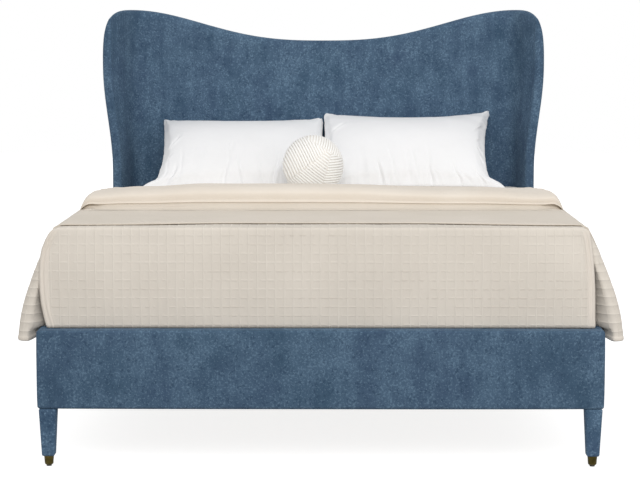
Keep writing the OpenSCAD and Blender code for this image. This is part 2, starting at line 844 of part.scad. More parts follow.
// One cross-section of a pillow: u runs along the seam from -1 to 1
function soft(a) = sign(a) * pow(abs(a), 0.8);
function pillow_ring(u) = let (
    half_l = pillow_l / 2 - 12 * (1 - u * u),
    half_t = pillow_t / 2 * pow(1 - pow(abs(u), 3), 0.5))
    [for (i = [0:15]) let (a = i * 22.5)
        [u * pillow_w / 2, half_l * soft(cos(a)), half_t * soft(sin(a))]];

pillow_us = [-0.99, -0.93, -0.8, -0.6, -0.3, 0, 0.3, 0.6, 0.8, 0.93, 0.99];

// How far a leaning pillow reaches from its middle
function reach(lean, dir) = max([for (u = pillow_us) for (p = pillow_ring(u))
    dir == "up" ? p[1] * sin(lean) + p[2] * cos(lean) : p[1] * cos(lean) - p[2] * sin(lean)]);

// A pillow that leans on the headboard, with its lower edge on the sheet
module pillow(x, lean) {
    y = face_y - 2 * seat_gap - reach(lean, "back");
    z = bed_top + 2 * seat_gap + reach(lean, "up");
    color(pillow_white) translate([x, y, z]) rotate([lean, 0, 0])
        skin([for (u = pillow_us) pillow_ring(u)]);
}

module ball_cushion() {
    color(sheet_cream) translate([-ball_x, face_y - ball_from_head,
        bed_top + seat_gap + ball_d / 2]) sphere(d = ball_d);
}

headboard_padding();
headboard_board();
mirror([1, 0, 0]) headboard_stile();  // headboard_stile_left
headboard_stile();  // headboard_stile_right
headboard_crossbar(leg_h + side_pad_t / 2);  // headboard_crossbar_low
headboard_crossbar(crossbar_top_z);  // headboard_crossbar_top
headboard_back();
mirror([1, 0, 0]) wing();  // wing_left
wing();  // wing_right
mirror([1, 0, 0]) drilled_wing_board();  // wing_board_left
drilled_wing_board();  // wing_board_right
wing_bolts();
mirror([1, 0, 0]) side_rail();  // side_rail_left
side_rail();  // side_rail_right
mirror([1, 0, 0]) side_board();  // side_board_left
side_board();  // side_board_right
foot_rail();
foot_board();
leg(0);  // leg_foot_left
leg(1);  // leg_foot_right
leg(2);  // leg_head_left
leg(3);  // leg_head_right
ferrule(0);  // ferrule_foot_left
ferrule(1);  // ferrule_foot_right
ferrule(2);  // ferrule_head_left
ferrule(3);  // ferrule_head_right
leg_glides();
leg_bolts();
mirror([1, 0, 0]) slat_ledge();  // slat_ledge_left
slat_ledge();  // slat_ledge_right
centre_beam();
beam_hangers();
centre_leg(centre_leg_ys[0]);  // centre_leg_front
centre_leg(centre_leg_ys[1]);  // centre_leg_rear
levelling_foot(centre_leg_ys[0]);  // levelling_foot_front
levelling_foot(centre_leg_ys[1]);  // levelling_foot_rear
corner_brackets();
frame_bolts();
base_screws();
slat(0);  // slat_1
slat(1);  // slat_2
slat(2);  // slat_3
slat(3);  // slat_4
slat(4);  // slat_5
slat(5);  // slat_6
slat(6);  // slat_7
slat(7);  // slat_8
slat(8);  // slat_9
slat(9);  // slat_10
slat(10);  // slat_11
slat(11);  // slat_12
slat(12);  // slat_13
mattress();
fitted_sheet();
quilt();
comforter();
pillow(-pillow_w / 2 - 5, left_lean);  // pillow_left
pillow(pillow_w / 2 + 3, right_lean);  // pillow_right
ball_cushion();
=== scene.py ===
# %% [markdown]
# # An upholstered bed with a winged headboard
#
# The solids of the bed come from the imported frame: rails, boards, slats, mattress and bedding, each
# at its real size. This script dresses them. Hard parts that already have the right shape, such as
# slats and bolts, keep their solid and get a finish. Upholstery and bedding are modelled afresh as
# cloth and padding, and each new piece stands for the solid that it covers.

# %% The frame
import json
import math

import bmesh
import bpy
from mathutils import Matrix, Vector, noise


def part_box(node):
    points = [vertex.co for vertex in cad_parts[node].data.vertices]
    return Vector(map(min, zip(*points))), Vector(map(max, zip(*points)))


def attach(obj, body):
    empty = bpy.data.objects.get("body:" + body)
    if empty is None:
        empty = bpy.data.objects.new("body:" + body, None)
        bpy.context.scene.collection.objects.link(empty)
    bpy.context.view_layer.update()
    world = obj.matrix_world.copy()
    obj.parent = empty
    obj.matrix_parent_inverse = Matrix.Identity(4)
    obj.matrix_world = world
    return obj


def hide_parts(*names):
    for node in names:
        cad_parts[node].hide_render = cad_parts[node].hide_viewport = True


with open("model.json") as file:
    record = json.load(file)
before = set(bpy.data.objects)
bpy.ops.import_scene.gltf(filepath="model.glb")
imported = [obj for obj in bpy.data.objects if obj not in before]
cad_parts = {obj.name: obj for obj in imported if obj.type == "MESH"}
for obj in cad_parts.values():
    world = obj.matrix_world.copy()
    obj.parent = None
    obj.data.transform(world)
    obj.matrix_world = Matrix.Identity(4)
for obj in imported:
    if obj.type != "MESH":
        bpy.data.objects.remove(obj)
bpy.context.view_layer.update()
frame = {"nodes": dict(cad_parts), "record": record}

MM = 0.001

# %% [markdown]
# ## Camera and light
#
# The bed is seen from straight ahead and a little above the mattress, from nearly seven metres
# away, so lines that run away from the camera hardly converge. A long lens gives that look.
# The light is a plain studio: a white surround, one broad lamp above the camera, and a weak one on
# the right, so that the right side is a touch brighter.

# %% Camera
def added(name, data):
    """A new object that holds this data, in the scene."""
    made = bpy.data.objects.new(name, data)
    bpy.context.scene.collection.objects.link(made)
    return made


CAMERA_PLACE = (0.031, -6.6985, 1.2455)
CAMERA_TILT = math.radians(90 - 5.942)
CAMERA_TURN = math.radians(0.33)
camera_data = bpy.data.cameras.new("camera")
camera_data.lens = 110.85
camera_data.sensor_width = 36
camera = added("camera", camera_data)
camera.location = CAMERA_PLACE
camera.rotation_euler = (CAMERA_TILT, 0, CAMERA_TURN)
bpy.context.scene.camera = camera
bpy.context.scene.view_settings.view_transform = "Standard"
print("camera at", CAMERA_PLACE)


# %% Node helpers
class Nodes:
    """A node tree under construction: short calls that add nodes and join them."""

    def __init__(self, tree):
        self.tree = tree

    def node(self, kind, links=(), **settings):
        made = self.tree.nodes.new(kind)
        for key, value in settings.items():
            setattr(made, key, value)
        for socket, value in dict(links).items():
            self.join(made.inputs[socket], value)
        return made

    def join(self, socket, value):
        if isinstance(value, bpy.types.NodeSocket):
            self.tree.links.new(value, socket)
        else:
            socket.default_value = value

    def coords(self, stretch=(1, 1, 1)):
        base = self.node("ShaderNodeTexCoord").outputs["Object"]
        return self.node("ShaderNodeMapping", {"Vector": base, "Scale": stretch}).outputs[0]

    def noise(self, scale, detail=2, at=None, roughness=0.5):
        links = {"Vector": at or self.coords(), "Scale": scale, "Detail": detail,
                 "Roughness": roughness}
        return self.node("ShaderNodeTexNoise", links).outputs["Fac"]

    def spread(self, value, low, high, new_low=0.0, new_high=1.0):
        links = {"Value": value, "From Min": low, "From Max": high, "To Min": new_low,
                 "To Max": new_high}
        return self.node("ShaderNodeMapRange", links).outputs["Result"]

    def blend(self, share, a, b):
        made = self.node("ShaderNodeMix", data_type="RGBA")
        self.join(made.inputs[0], share)
        self.join(made.inputs[6], a)
        self.join(made.inputs[7], b)
        return made.outputs[2]

    def math(self, operation, a, b=0.0):
        made = self.node("ShaderNodeMath", operation=operation)
        self.join(made.inputs[0], a)
        self.join(made.inputs[1], b)
        return made.outputs[0]

    def near_line(self, value, pitch, width):
        """1 on lines a pitch apart, 0 further away than width."""
        gap = self.math("PINGPONG", value, pitch / 2)
        return self.spread(gap, 0.0, width, 1.0, 0.0)


class Recipe(Nodes):
    """A material with one shader, whose inputs are set by name."""

    def __init__(self, name, roughness=0.8):
        self.material = bpy.data.materials.new(name)
        self.material.use_nodes = True
        super().__init__(self.material.node_tree)
        self.shader = self.tree.nodes["Principled BSDF"]
        self.shader.inputs["Roughness"].default_value = roughness

    def set(self, **values):
        for key, value in values.items():
            self.join(self.shader.inputs[key.replace("_", " ")], value)

    def bump(self, height, strength, distance=0.001, under=None):
        links = {"Height": height, "Strength": strength, "Distance": distance}
        if under:
            links["Normal"] = under
        made = self.node("ShaderNodeBump", links).outputs["Normal"]
        self.join(self.shader.inputs["Normal"], made)
        return made


def tone(red, green, blue):
    """A colour written as screen values from 0 to 255, as the shader wants it."""
    def linear(c):
        c = c / 255
        return c / 12.92 if c <= 0.04045 else ((c + 0.055) / 1.055) ** 2.4
    return (linear(red), linear(green), linear(blue), 1.0)


# %% Surround, floor and lamps
FLOOR_TONE = (0.42, 0.42, 0.42, 1)
SURROUND = 0.74
FLOOR_GLOW = 0.84
FLOOR_HALF = 14


def white_to_camera(nodes, dim, bright):
    """Bright for rays from the camera, a mirror or through glass, and dim for all others."""
    path = nodes.node("ShaderNodeLightPath").outputs
    seen = nodes.math("MAXIMUM", path["Is Camera Ray"], path["Is Glossy Ray"])
    seen = nodes.math("MAXIMUM", seen, path["Is Transmission Ray"])
    return nodes.spread(seen, 0.0, 1.0, dim, bright)


world = bpy.data.worlds.new("studio")
bpy.context.scene.world = world
world.use_nodes = True
sky = Nodes(world.node_tree)
background = sky.tree.nodes["Background"]
background.inputs["Color"].default_value = (1, 1, 1, 1)
sky.join(background.inputs["Strength"], white_to_camera(sky, SURROUND, 1.0))


def area_lamp(name, place, target, width, height, power):
    data = bpy.data.lights.new(name, "AREA")
    data.shape = "RECTANGLE"
    data.size = width
    data.size_y = height
    data.energy = power
    lamp = added(name, data)
    lamp.location = place
    lamp.rotation_euler = (Vector(target) - Vector(place)).to_track_quat("-Z", "Y").to_euler()


area_lamp("key_lamp", (0.3, -7.6, 4.9), (0, 0.1, 0.6), 4.6, 3.4, 290)
area_lamp("fill_lamp", (3.6, -4.4, 2.2), (0, 0, 0.7), 2.4, 2.2, 26)

# %% [markdown]
# ## Finishes
#
# The cover is a mottled chenille velvet, worn like old denim: where the pile is crushed, light
# flecks of yarn a few millimetres wide crowd together, in cloudy patches and upright streaks, and
# elsewhere the cloth stays deep blue. So one noise says how worn a place is, and a fine noise is
# cut off higher or lower by it to make few flecks or many.

# %% Velvet
def crushed_velvet(name, crease=False, painted_shade_share=0.0):
    """Worn chenille; crease adds painted shade to the wings' inner faces and the crease between wing
    and panel, and the darkening share adds painted shade over all of it.
    """
    pile = Recipe(name, roughness=0.85)
    patches = pile.spread(pile.noise(11, 5, roughness=0.7), 0.36, 0.64, 0.0, 0.65)
    streaks = pile.spread(pile.noise(26, 4, at=pile.coords(stretch=(1, 1, 0.16)),
                                     roughness=0.6), 0.38, 0.62, 0.0, 0.35)
    worn = pile.math("ADD", patches, streaks)
    grain = pile.noise(150, 2, roughness=0.75)
    cut_off = pile.spread(worn, 0.0, 1.0, 0.60, 0.47)
    flecks = pile.spread(pile.math("SUBTRACT", grain, cut_off), 0.0, 0.09)
    dark_yarn = pile.spread(pile.noise(100, 2, roughness=0.7, at=pile.coords(
        stretch=(1.07, 1.13, 0.9))), 0.55, 0.66, 0.0, 0.7)
    hue = pile.spread(pile.noise(5, 2), 0.35, 0.65)
    deep = pile.blend(hue, tone(56, 80, 102), tone(59, 79, 104))
    ground = pile.blend(worn, deep, tone(80, 104, 127))
    darkened = pile.blend(dark_yarn, ground, tone(46, 67, 90))
    flecked = pile.blend(pile.math("MULTIPLY", flecks, 0.62), darkened, tone(109, 135, 157))
    if crease:
        # Painted shade: darker blue across the wings' inner faces and the crease, by distance from
        # the middle.
        across = pile.node("ShaderNodeSeparateXYZ", {"Vector": pile.coords()})
        from_middle = pile.math("ABSOLUTE", across.outputs[0])
        inside = pile.math("MULTIPLY", pile.spread(from_middle, 0.700, 0.742),
                           pile.spread(from_middle, 0.822, 0.792, 0.0, 0.55))
        deepest_painted_shade = pile.math("MULTIPLY", pile.spread(from_middle, 0.708, 0.745),
                            pile.spread(from_middle, 0.785, 0.750, 0.0, 0.45))
        shade = pile.math("MULTIPLY", pile.math("ADD", inside, deepest_painted_shade), 0.23)
        flecked = pile.blend(shade, flecked, tone(38, 56, 72))
    # Painted shade: darker blue over the whole cloth, for the rails.
    if painted_shade_share:
        flecked = pile.blend(painted_shade_share, flecked, tone(40, 55, 66))
    pile.set(Base_Color=flecked, Sheen_Weight=0.2, Sheen_Roughness=0.4,
             Sheen_Tint=tone(150, 180, 212), Specular_IOR_Level=0.2)
    raised = pile.bump(flecks, 0.35, 0.0012)
    pile.bump(pile.noise(900, 2), 0.3, 0.0006, under=raised)
    return pile


velvet = crushed_velvet("velvet_blue")
# The headboard's copy carries painted shade in its creases; the rails' copy is darker all over with
# painted shade.
wing_velvet_painted_shade = crushed_velvet("velvet_blue_painted_crease_shade", crease=True)
rail_velvet_painted_shade = crushed_velvet("velvet_blue_rail_painted_shade", painted_shade_share=0.2)
print("made", velvet.material.name)

# %% [markdown]
# Cotton is drawn as crossing threads. Two wave patterns at right angles, a millimetre apart, raise
# the threads a little, and a broad noise keeps large areas from looking printed.


# %% Cotton
def cotton(name, light, dark, thread=1.0, crease=0.0):
    recipe = Recipe(name, 0.85)
    cloudy = recipe.spread(recipe.noise(5, 3), 0.3, 0.7)
    speck = recipe.spread(recipe.noise(420, 2), 0.3, 0.7)
    soft = recipe.blend(cloudy, dark, light)
    recipe.colour = recipe.blend(recipe.math("MULTIPLY", speck, 0.25), soft, dark)
    recipe.set(Base_Color=recipe.colour, Sheen_Weight=0.08, Sheen_Roughness=0.5,
               Specular_IOR_Level=0.25)
    where = recipe.coords()
    waves = [recipe.node("ShaderNodeTexWave", {"Vector": where, "Scale": 330 / thread,
                                               "Distortion": 0.6}, bands_direction=way).outputs[1]
             for way in ("X", "Y", "Z")]
    threads = recipe.math("ADD", recipe.math("ADD", waves[0], waves[1]), waves[2])
    under = recipe.bump(threads, 0.12, 0.0005)
    if crease:
        under = recipe.bump(recipe.noise(16, 4, roughness=0.62), crease, 0.006, under=under)
    return recipe


pillow_cotton = cotton("pillow_cotton", tone(243, 243, 244), tone(237, 237, 238), crease=0.3)
sheet_cotton = cotton("white_cotton", tone(240, 236, 229), tone(232, 227, 219), crease=0.35)
cream_cotton = cotton("cream_cotton", tone(226, 217, 205), tone(220, 210, 197), crease=0.25)
ticking = cotton("ticking", tone(238, 235, 230), tone(228, 224, 217), thread=2.2)
band_cotton = cotton("quilt_reverse", tone(213, 204, 192), tone(206, 197, 184), crease=0.3)
hem_cotton = cotton("quilt_hem", tone(222, 213, 202), tone(214, 205, 193))
back_cloth = cotton("back_cloth", tone(40, 42, 46), tone(30, 31, 34), thread=1.6)
yarn = cotton("wound_yarn", tone(254, 253, 251), tone(250, 249, 246), thread=1.4)
print("cottons:", [r.material.name for r in (pillow_cotton, sheet_cotton, cream_cotton)])

# %% [markdown]
# The quilt's cloth has a windowpane weave: raised lines every 26 mm along the bed, and short broken
# dashes across it. The lines follow the cloth over the edges and round the corners, so they are
# drawn on the piece's own map, which is laid out in metres of flat cloth.

# %% Quilted cotton
PANE = 0.026
quilted = Recipe("quilt_cotton", roughness=0.9)
flat_place = quilted.node("ShaderNodeUVMap", uv_map="cloth").outputs[0]
split = quilted.node("ShaderNodeSeparateXYZ", {"Vector": flat_place})
along_lines = quilted.near_line(split.outputs[0], PANE, 0.0030)
dash_gate = quilted.spread(quilted.noise(62, 1, at=flat_place), 0.40, 0.52)
cross_lines = quilted.math("MULTIPLY", quilted.near_line(split.outputs[1], PANE, 0.0034),
                           dash_gate)
raised = quilted.math("MAXIMUM", along_lines, quilted.math("MULTIPLY", cross_lines, 0.9))
worn = quilted.spread(quilted.noise(9, 2, at=flat_place), 0.35, 0.65, 0.1, 0.5)
cloud = quilted.spread(quilted.noise(4, 3), 0.3, 0.7)
ground = quilted.blend(cloud, tone(206, 198, 187), tone(214, 206, 195))
dark_cross = quilted.math("MULTIPLY", cross_lines, quilted.spread(
    quilted.noise(7, 1, at=quilted.coords(stretch=(0.2, 1, 3))), 0.42, 0.6, 0.0, 0.5))
crossed = quilted.blend(dark_cross, ground, tone(186, 176, 163))
quilted.set(Base_Color=quilted.blend(quilted.math("MULTIPLY", raised, worn), crossed,
                                     tone(226, 219, 208)))
quilted.set(Sheen_Weight=0.08, Specular_IOR_Level=0.2)
stitch = quilted.bump(raised, 0.5, 0.0016)
quilted.bump(quilted.noise(420, 2), 0.25, 0.0005, under=stitch)
print("pane", PANE, "m")

# %% [markdown]
# Hidden timber is plain: pine with long grain along each board, and birch plywood. The metal is
# zinc-plated steel for bolts, and a dark, rubbed brass for the four feet.


# %% Timber and metal
def timber(name, light, dark, grain):
    recipe = Recipe(name, 0.6)
    rings = recipe.noise(1, 3, at=recipe.coords(stretch=grain))
    fine = recipe.noise(4, 2, at=recipe.coords(stretch=grain))
    bands = recipe.spread(rings, 0.35, 0.65)
    recipe.set(Base_Color=recipe.blend(bands, light, dark))
    recipe.bump(fine, 0.2, 0.0004)
    return recipe


pine_across, pine_along, pine_upright = (
    timber(name, tone(226, 198, 152), tone(199, 163, 112), grain)
    for name, grain in (("pine_across", (2.5, 90, 90)), ("pine_along", (90, 2.5, 90)),
                        ("pine_upright", (90, 90, 2.5))))
birch_ply = timber("birch_ply", tone(214, 184, 142), tone(186, 150, 106), (60, 60, 3))

brass = Recipe("dark_brass", 0.42)
wear = brass.spread(brass.noise(60, 4), 0.35, 0.7)
brass.set(Base_Color=brass.blend(wear, tone(54, 48, 23), tone(80, 71, 38)), Metallic=1.0)
brass.set(Roughness=brass.spread(brass.noise(140, 3), 0.3, 0.7, 0.34, 0.5))
brass.bump(brass.noise(700, 1), 0.05, 0.0003)

zinc = Recipe("zinc_steel", 0.38)
zinc.set(Base_Color=zinc.blend(zinc.noise(120, 3), tone(188, 190, 194), tone(214, 216, 219)),
         Metallic=1.0)
zinc.bump(zinc.noise(900, 1), 0.05, 0.0002)

nylon = Recipe("black_nylon", 0.55)
nylon.set(Base_Color=nylon.blend(nylon.noise(200, 2), tone(26, 26, 27), tone(38, 38, 40)))
nylon.bump(nylon.noise(1200, 1), 0.1, 0.0002)
print("metals and nylon:", brass.material.name, zinc.material.name, nylon.material.name)

# %% Finishes for the solids that stay
UPRIGHT = ("headboard_stile_left", "headboard_stile_right", "centre_leg_front", "centre_leg_rear")
ALONG = ("side_board_left", "side_board_right", "slat_ledge_left", "slat_ledge_right",
         "centre_beam")
finish_of = {"plywood": birch_ply, "back_cloth": back_cloth, "dark_brass": brass,
             "black_nylon": nylon, "zinc_steel": zinc, "ticking": ticking,
             "velvet_blue": velvet, "white_cotton": sheet_cotton, "quilt_cotton": quilted,
             "cream_cotton": cream_cotton, "pillow_cotton": pillow_cotton, "wound_yarn": yarn}
slot_of = {part["node"]: part["material_slot"] for part in frame["record"]["subparts"]}
for name, solid in frame["nodes"].items():
    finish = finish_of.get(slot_of[name])
    if finish is None:
        finish = pine_upright if name in UPRIGHT else pine_along if name in ALONG else pine_across
    for index in range(len(solid.data.materials)):
        solid.data.materials[index] = finish.material
print("finished solids:", len(slot_of))

# %% [markdown]
# ## Ways of making a surface
#
# Most pieces are one of three things. A cloth is a grid whose every point is moved by a formula. A
# padded ring is the same grid closed into a tube, with its seam merged. A board or rail under cloth
# is a cube, cut finely, whose corners are pulled onto a small radius. Each grid keeps a map of its
# own flat cloth, mostly in metres, so that a weave can follow it.


# %% Grid and ring
def moved_grid(columns, rows, place, flat=None, closed=False):
    """A grid whose points go where place(u, v) says, with u and v from 0 to 1."""
    bm = bmesh.new()
    bmesh.ops.create_grid(bm, x_segments=columns, y_segments=rows, size=0.5)
    cloth = bm.loops.layers.uv.new("cloth")
    bm.verts.index_update()
    shares = {v.index: (v.co.x + 0.5, v.co.y + 0.5) for v in bm.verts}
    for face in bm.faces:
        for loop in face.loops:
            u, v = shares[loop.vert.index]
            loop[cloth].uv = flat(u, v) if flat else (u, v)
    for vert in bm.verts:
        vert.co = place(*shares[vert.index])
    if closed:
        bmesh.ops.remove_doubles(bm, verts=bm.verts, dist=0.00005)
    bmesh.ops.recalc_face_normals(bm, faces=bm.faces)
    return bm


def close_ends(bm):
    """Fills the open ends of a tube."""
    bmesh.ops.holes_fill(bm, edges=[e for e in bm.edges if e.is_boundary], sides=0)
    bmesh.ops.recalc_face_normals(bm, faces=bm.faces)


def face_along(bm, axis, sign=1):
    """Turns all faces over if on the whole they look the wrong way along an axis."""
    bm.normal_update()
    if sum(f.normal[axis] * f.calc_area() for f in bm.faces) * sign < 0:
        bmesh.ops.reverse_faces(bm, faces=bm.faces)


def raise_points(bm, height):
    """Moves each point along its normal by height(u, v, normal), u and v from its own map."""
    bm.normal_update()
    cloth = bm.loops.layers.uv["cloth"]
    moves = [(v, v.normal * height(*v.link_loops[0][cloth].uv, v.normal)) for v in bm.verts]
    for vert, move in moves:
        vert.co += move


# %% Rounded box
def rounded_box(low, high, radius, cuts=16, crown=0.0):
    """A box of padding with rounded edges; crown is how far each face swells."""
    low, high = Vector(low), Vector(high)
    bm = bmesh.new()
    bmesh.ops.create_cube(bm, size=2)
    bmesh.ops.subdivide_edges(bm, edges=bm.edges, cuts=cuts, use_grid_fill=True)
    turn_steps = 4
    last = cuts + 1

    def spot(t, a, b):
        step = round((t + 1) / 2 * last)
        near = min(step, last - step)
        if near < turn_steps:
            inset = radius * (1 - math.tan(math.radians(45) * (turn_steps - near) / turn_steps))
        else:
            inset = radius + (b - a - 2 * radius) * (near - turn_steps) / (last - 2 * turn_steps)
        return a + inset if step == near else b - inset

    middle = (low + high) / 2
    half = (high - low) / 2
    for vert in bm.verts:
        p = Vector(spot(vert.co[i], low[i], high[i]) for i in range(3))
        core = Vector(min(max(p[i], low[i] + radius), high[i] - radius) for i in range(3))
        away = (p - core).normalized()
        u = [(p[i] - middle[i]) / half[i] for i in range(3)]
        swell = crown * sum(away[i] ** 2 * (1 - u[i - 1] ** 4) * (1 - u[i - 2] ** 4)
                            for i in range(3))
        vert.co = core + away * (radius + swell)
    bmesh.ops.recalc_face_normals(bm, faces=bm.faces)
    return bm


# %% Joining and finishing a piece
def joined(parts):
    """Several meshes as one; each material index is kept."""
    whole = bmesh.new()
    for part in parts:
        scratch = bpy.data.meshes.new("scratch")
        part.to_mesh(scratch)
        part.free()
        whole.from_mesh(scratch)
        bpy.data.meshes.remove(scratch)
    return whole


def finish_piece(name, bm, body, recipes, stands_for=()):
    """A named, smooth piece that rides on a body and stands for the solids it covers."""
    mesh = bpy.data.meshes.new(name)
    bm.to_mesh(mesh)
    bm.free()
    mesh.polygons.foreach_set("use_smooth", [True] * len(mesh.polygons))
    piece = added(name, mesh)
    for recipe in recipes if isinstance(recipes, list) else [recipes]:
        mesh.materials.append(recipe.material)
    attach(piece, body)
    if stands_for:
        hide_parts(*stands_for)
    print(f"{name}: {len(mesh.polygons)} faces")
    return piece


def thicken(piece, thickness):
    """Gives a cloth its thickness, inwards."""
    wall = piece.modifiers.new("thickness", "SOLIDIFY")
    wall.thickness = thickness
    wall.offset = -1.0


# %% Small sums
def smooth_step(low, high, value):
    """0 up to low, 1 from high on, and a soft slope between."""
    t = min(1.0, max(0.0, (value - low) / (high - low)))
    return t * t * (3 - 2 * t)


def mix(a, b, share):
    return a + (b - a) * share


def wander(x, y, z):
    """A smooth random height at a place, between about -1 and 1."""
    return noise.noise(Vector((x, y, z)))


def from_table(table, at):
    """The value at a place in a table whose places run downwards; it is level past its ends."""
    for (a, first), (b, second) in zip(table, table[1:]):
        if at >= b:
            return mix(first, second, min(1.0, max(0.0, (a - at) / (a - b))))
    return table[-1][1]


def mirrored(half):
    """Stations from minus the last to the last, out of those from 0 to the last."""
    return [-s for s in reversed(half[1:])] + half


# %% [markdown]
# ## Places taken from the solids
#
# The boxes of the solids say where everything goes. The visual pieces read them here once, so that
# a change in the solids moves the cloth with it.


# %% Places
def box(name):
    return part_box(name)


rail_low, rail_high = box("foot_rail")
rail_in_y = rail_high.y
rail_z = rail_low.z
rail_top = rail_high.z
outer_x = rail_high.x
side_low, side_high = box("side_rail_right")
inner_x = side_low.x
pad_high = box("headboard_padding")[1]
wing_low, wing_high = box("wing_right")
face_y = side_high.y
back_y = pad_high.y
sheet_low, sheet_high = box("fitted_sheet")
mattress_low, mattress_high = box("mattress")
quilt_low, quilt_high = box("quilt")
bed_top = sheet_high.z
turn_top = quilt_high.z
quilt_top = turn_top - 6 * MM
print("headboard face at", round(face_y, 4), "bed top at", round(bed_top, 4))

# %% [markdown]
# ## Headboard and wings
#
# On the real bed the velvet runs without a seam from one wing, across the tall panel and round to
# the other wing, pulled into a soft crease where wing and panel meet. So all three are one skin:
# a slab that follows a line in plan, from the nose of one wing to the nose of the other. Across the
# slab it goes up the inner face, over a rounded top and down the outer face. The top edge dips in
# the middle and rises to a shoulder over each wing, and the wings swell out as they rise.

# %% Outline of the headboard
CROWN_X = 745 * MM
CROWN_Z = pad_high.z
DIP = 118 * MM
EAR_DROP = 215 * MM
WING_TOP_X = wing_high.x
WING_FOOT_X = outer_x - 6.5 * MM
SWELL_LOW, SWELL_HIGH = CROWN_Z - 612 * MM, CROWN_Z - EAR_DROP
NOSE = 19 * MM
PANEL_ROUND = 28 * MM
CREASE = 40 * MM
WING_IN_X = inner_x + 0.5 * MM
SLAB_BACK_X = 806 * MM
wing_front_y = wing_low.y
skin_back_y = back_y - 1.2 * MM
wing_z = wing_low.z
corner_x = WING_IN_X - 24 * MM
crease_x = corner_x - CREASE
crease_y = face_y - CREASE


def top_edge(x):
    """Height of the headboard's outline at a distance from the middle."""
    if x <= CROWN_X:
        rise = (1 - math.cos(math.pi * (x / CROWN_X) ** 1.35)) / 2
        return CROWN_Z - DIP + DIP * rise
    out = min(1.0, (x - CROWN_X) / (WING_TOP_X - CROWN_X))
    return CROWN_Z - EAR_DROP + EAR_DROP * (1 - out ** 3) ** (1 / 3)


def wing_x(z):
    """How far a wing's outer face stands from the middle at a height."""
    share = min(1.0, max(0.0, (z - SWELL_LOW) / (SWELL_HIGH - SWELL_LOW)))
    return WING_FOOT_X + (WING_TOP_X - WING_FOOT_X) * (1 - math.cos(math.pi * share)) / 2


def rounding(depth, radius):
    """How far a rounded edge has fallen at a depth inside the face."""
    d = min(depth, radius)
    return radius - math.sqrt(max(0.0, radius ** 2 - (radius - d) ** 2))


# %% Plan line of the slab
PANEL_L = crease_x
TURN_L = CREASE * 1.8
WING_L = crease_y - (wing_front_y + NOSE)
HALF_L = PANEL_L + TURN_L + WING_L + NOSE
BACK_CORNER = 14 * MM


def outer_face(y, z):
    """How far the slab's outer face stands from the middle: it flares from back to nose."""
    return mix(SLAB_BACK_X, wing_x(z), (skin_back_y - y) / (skin_back_y - wing_front_y - NOSE))


def slab_ends(s, z):
    """Inner and outer points of the slab in plan, the edge radius and the depth from the nose.
    s is the distance from the middle of the bed along the slab. The crease between panel and
    wing is a curve that leaves the panel and meets the flared wing without a corner."""
    flare = (wing_x(z) - 2 * NOSE - corner_x) / (face_y - wing_front_y - NOSE)
    if s <= PANEL_L:
        hollow = 3.5 * MM * (1 - (s / PANEL_L) ** 4)
        return (s, face_y - hollow), (s, skin_back_y), PANEL_ROUND, HALF_L
    if s <= PANEL_L + TURN_L:
        share = (s - PANEL_L) / TURN_L
        angle = math.pi / 2 * (1 - share)
        to_side = (SLAB_BACK_X - crease_x) / max(math.cos(angle), 1e-6)
        to_back = (skin_back_y - crease_y) / max(math.sin(angle), 1e-6)
        far = min(to_side, to_back)
        x, y = crease_x + far * math.cos(angle), crease_y + far * math.sin(angle)
        if to_side < to_back:
            x = outer_face(y, z)
        dx, dy = x - (SLAB_BACK_X - BACK_CORNER), y - (skin_back_y - BACK_CORNER)
        if dx > 0 and dy > 0:
            pull = BACK_CORNER / math.hypot(dx, dy)
            x, y = x - dx + dx * pull, y - dy + dy * pull
        end_x = corner_x + flare * CREASE
        inner = (mix(mix(crease_x, corner_x, share), mix(corner_x, end_x, share), share),
                 mix(face_y, mix(face_y, crease_y, share), share))
        return inner, (x, y), mix(PANEL_ROUND, NOSE, share), HALF_L
    y = max(wing_front_y, crease_y - (s - PANEL_L - TURN_L))
    behind_nose = max(y, wing_front_y + NOSE)
    inward = (crease_y - behind_nose) / WING_L
    inner_at = corner_x + flare * (face_y - behind_nose)
    outer_at = outer_face(behind_nose, z)
    nose_depth = y - wing_front_y
    if nose_depth < NOSE:
        half = NOSE * (1 - (1 - max(0.0, nose_depth) / NOSE) ** 2.5) ** (1 / 2.5)
        inner_at, outer_at = wing_x(z) - NOSE - half, wing_x(z) - NOSE + half
    swell = 2 * MM * math.sin(math.pi * min(1.0, inward))
    return (inner_at - swell, y), (outer_at, y), NOSE, nose_depth


# %% Headboard skin
def slab_stations():
    """Distances from the middle along the slab, closer together where it bends."""
    panel = [PANEL_L * i / 42 for i in range(42)]
    turn = [PANEL_L + TURN_L * i / 18 for i in range(18)]
    wing = [PANEL_L + TURN_L + WING_L * i / 8 for i in range(8)]
    nose = [HALF_L - NOSE + NOSE * math.sin(math.pi / 2 * i / 8) for i in range(9)]
    return mirrored(panel + turn + wing + nose)


stations = slab_stations()
FACE_ROWS, TOP_ROWS = 52, 14
ROWS = 2 * FACE_ROWS + TOP_ROWS


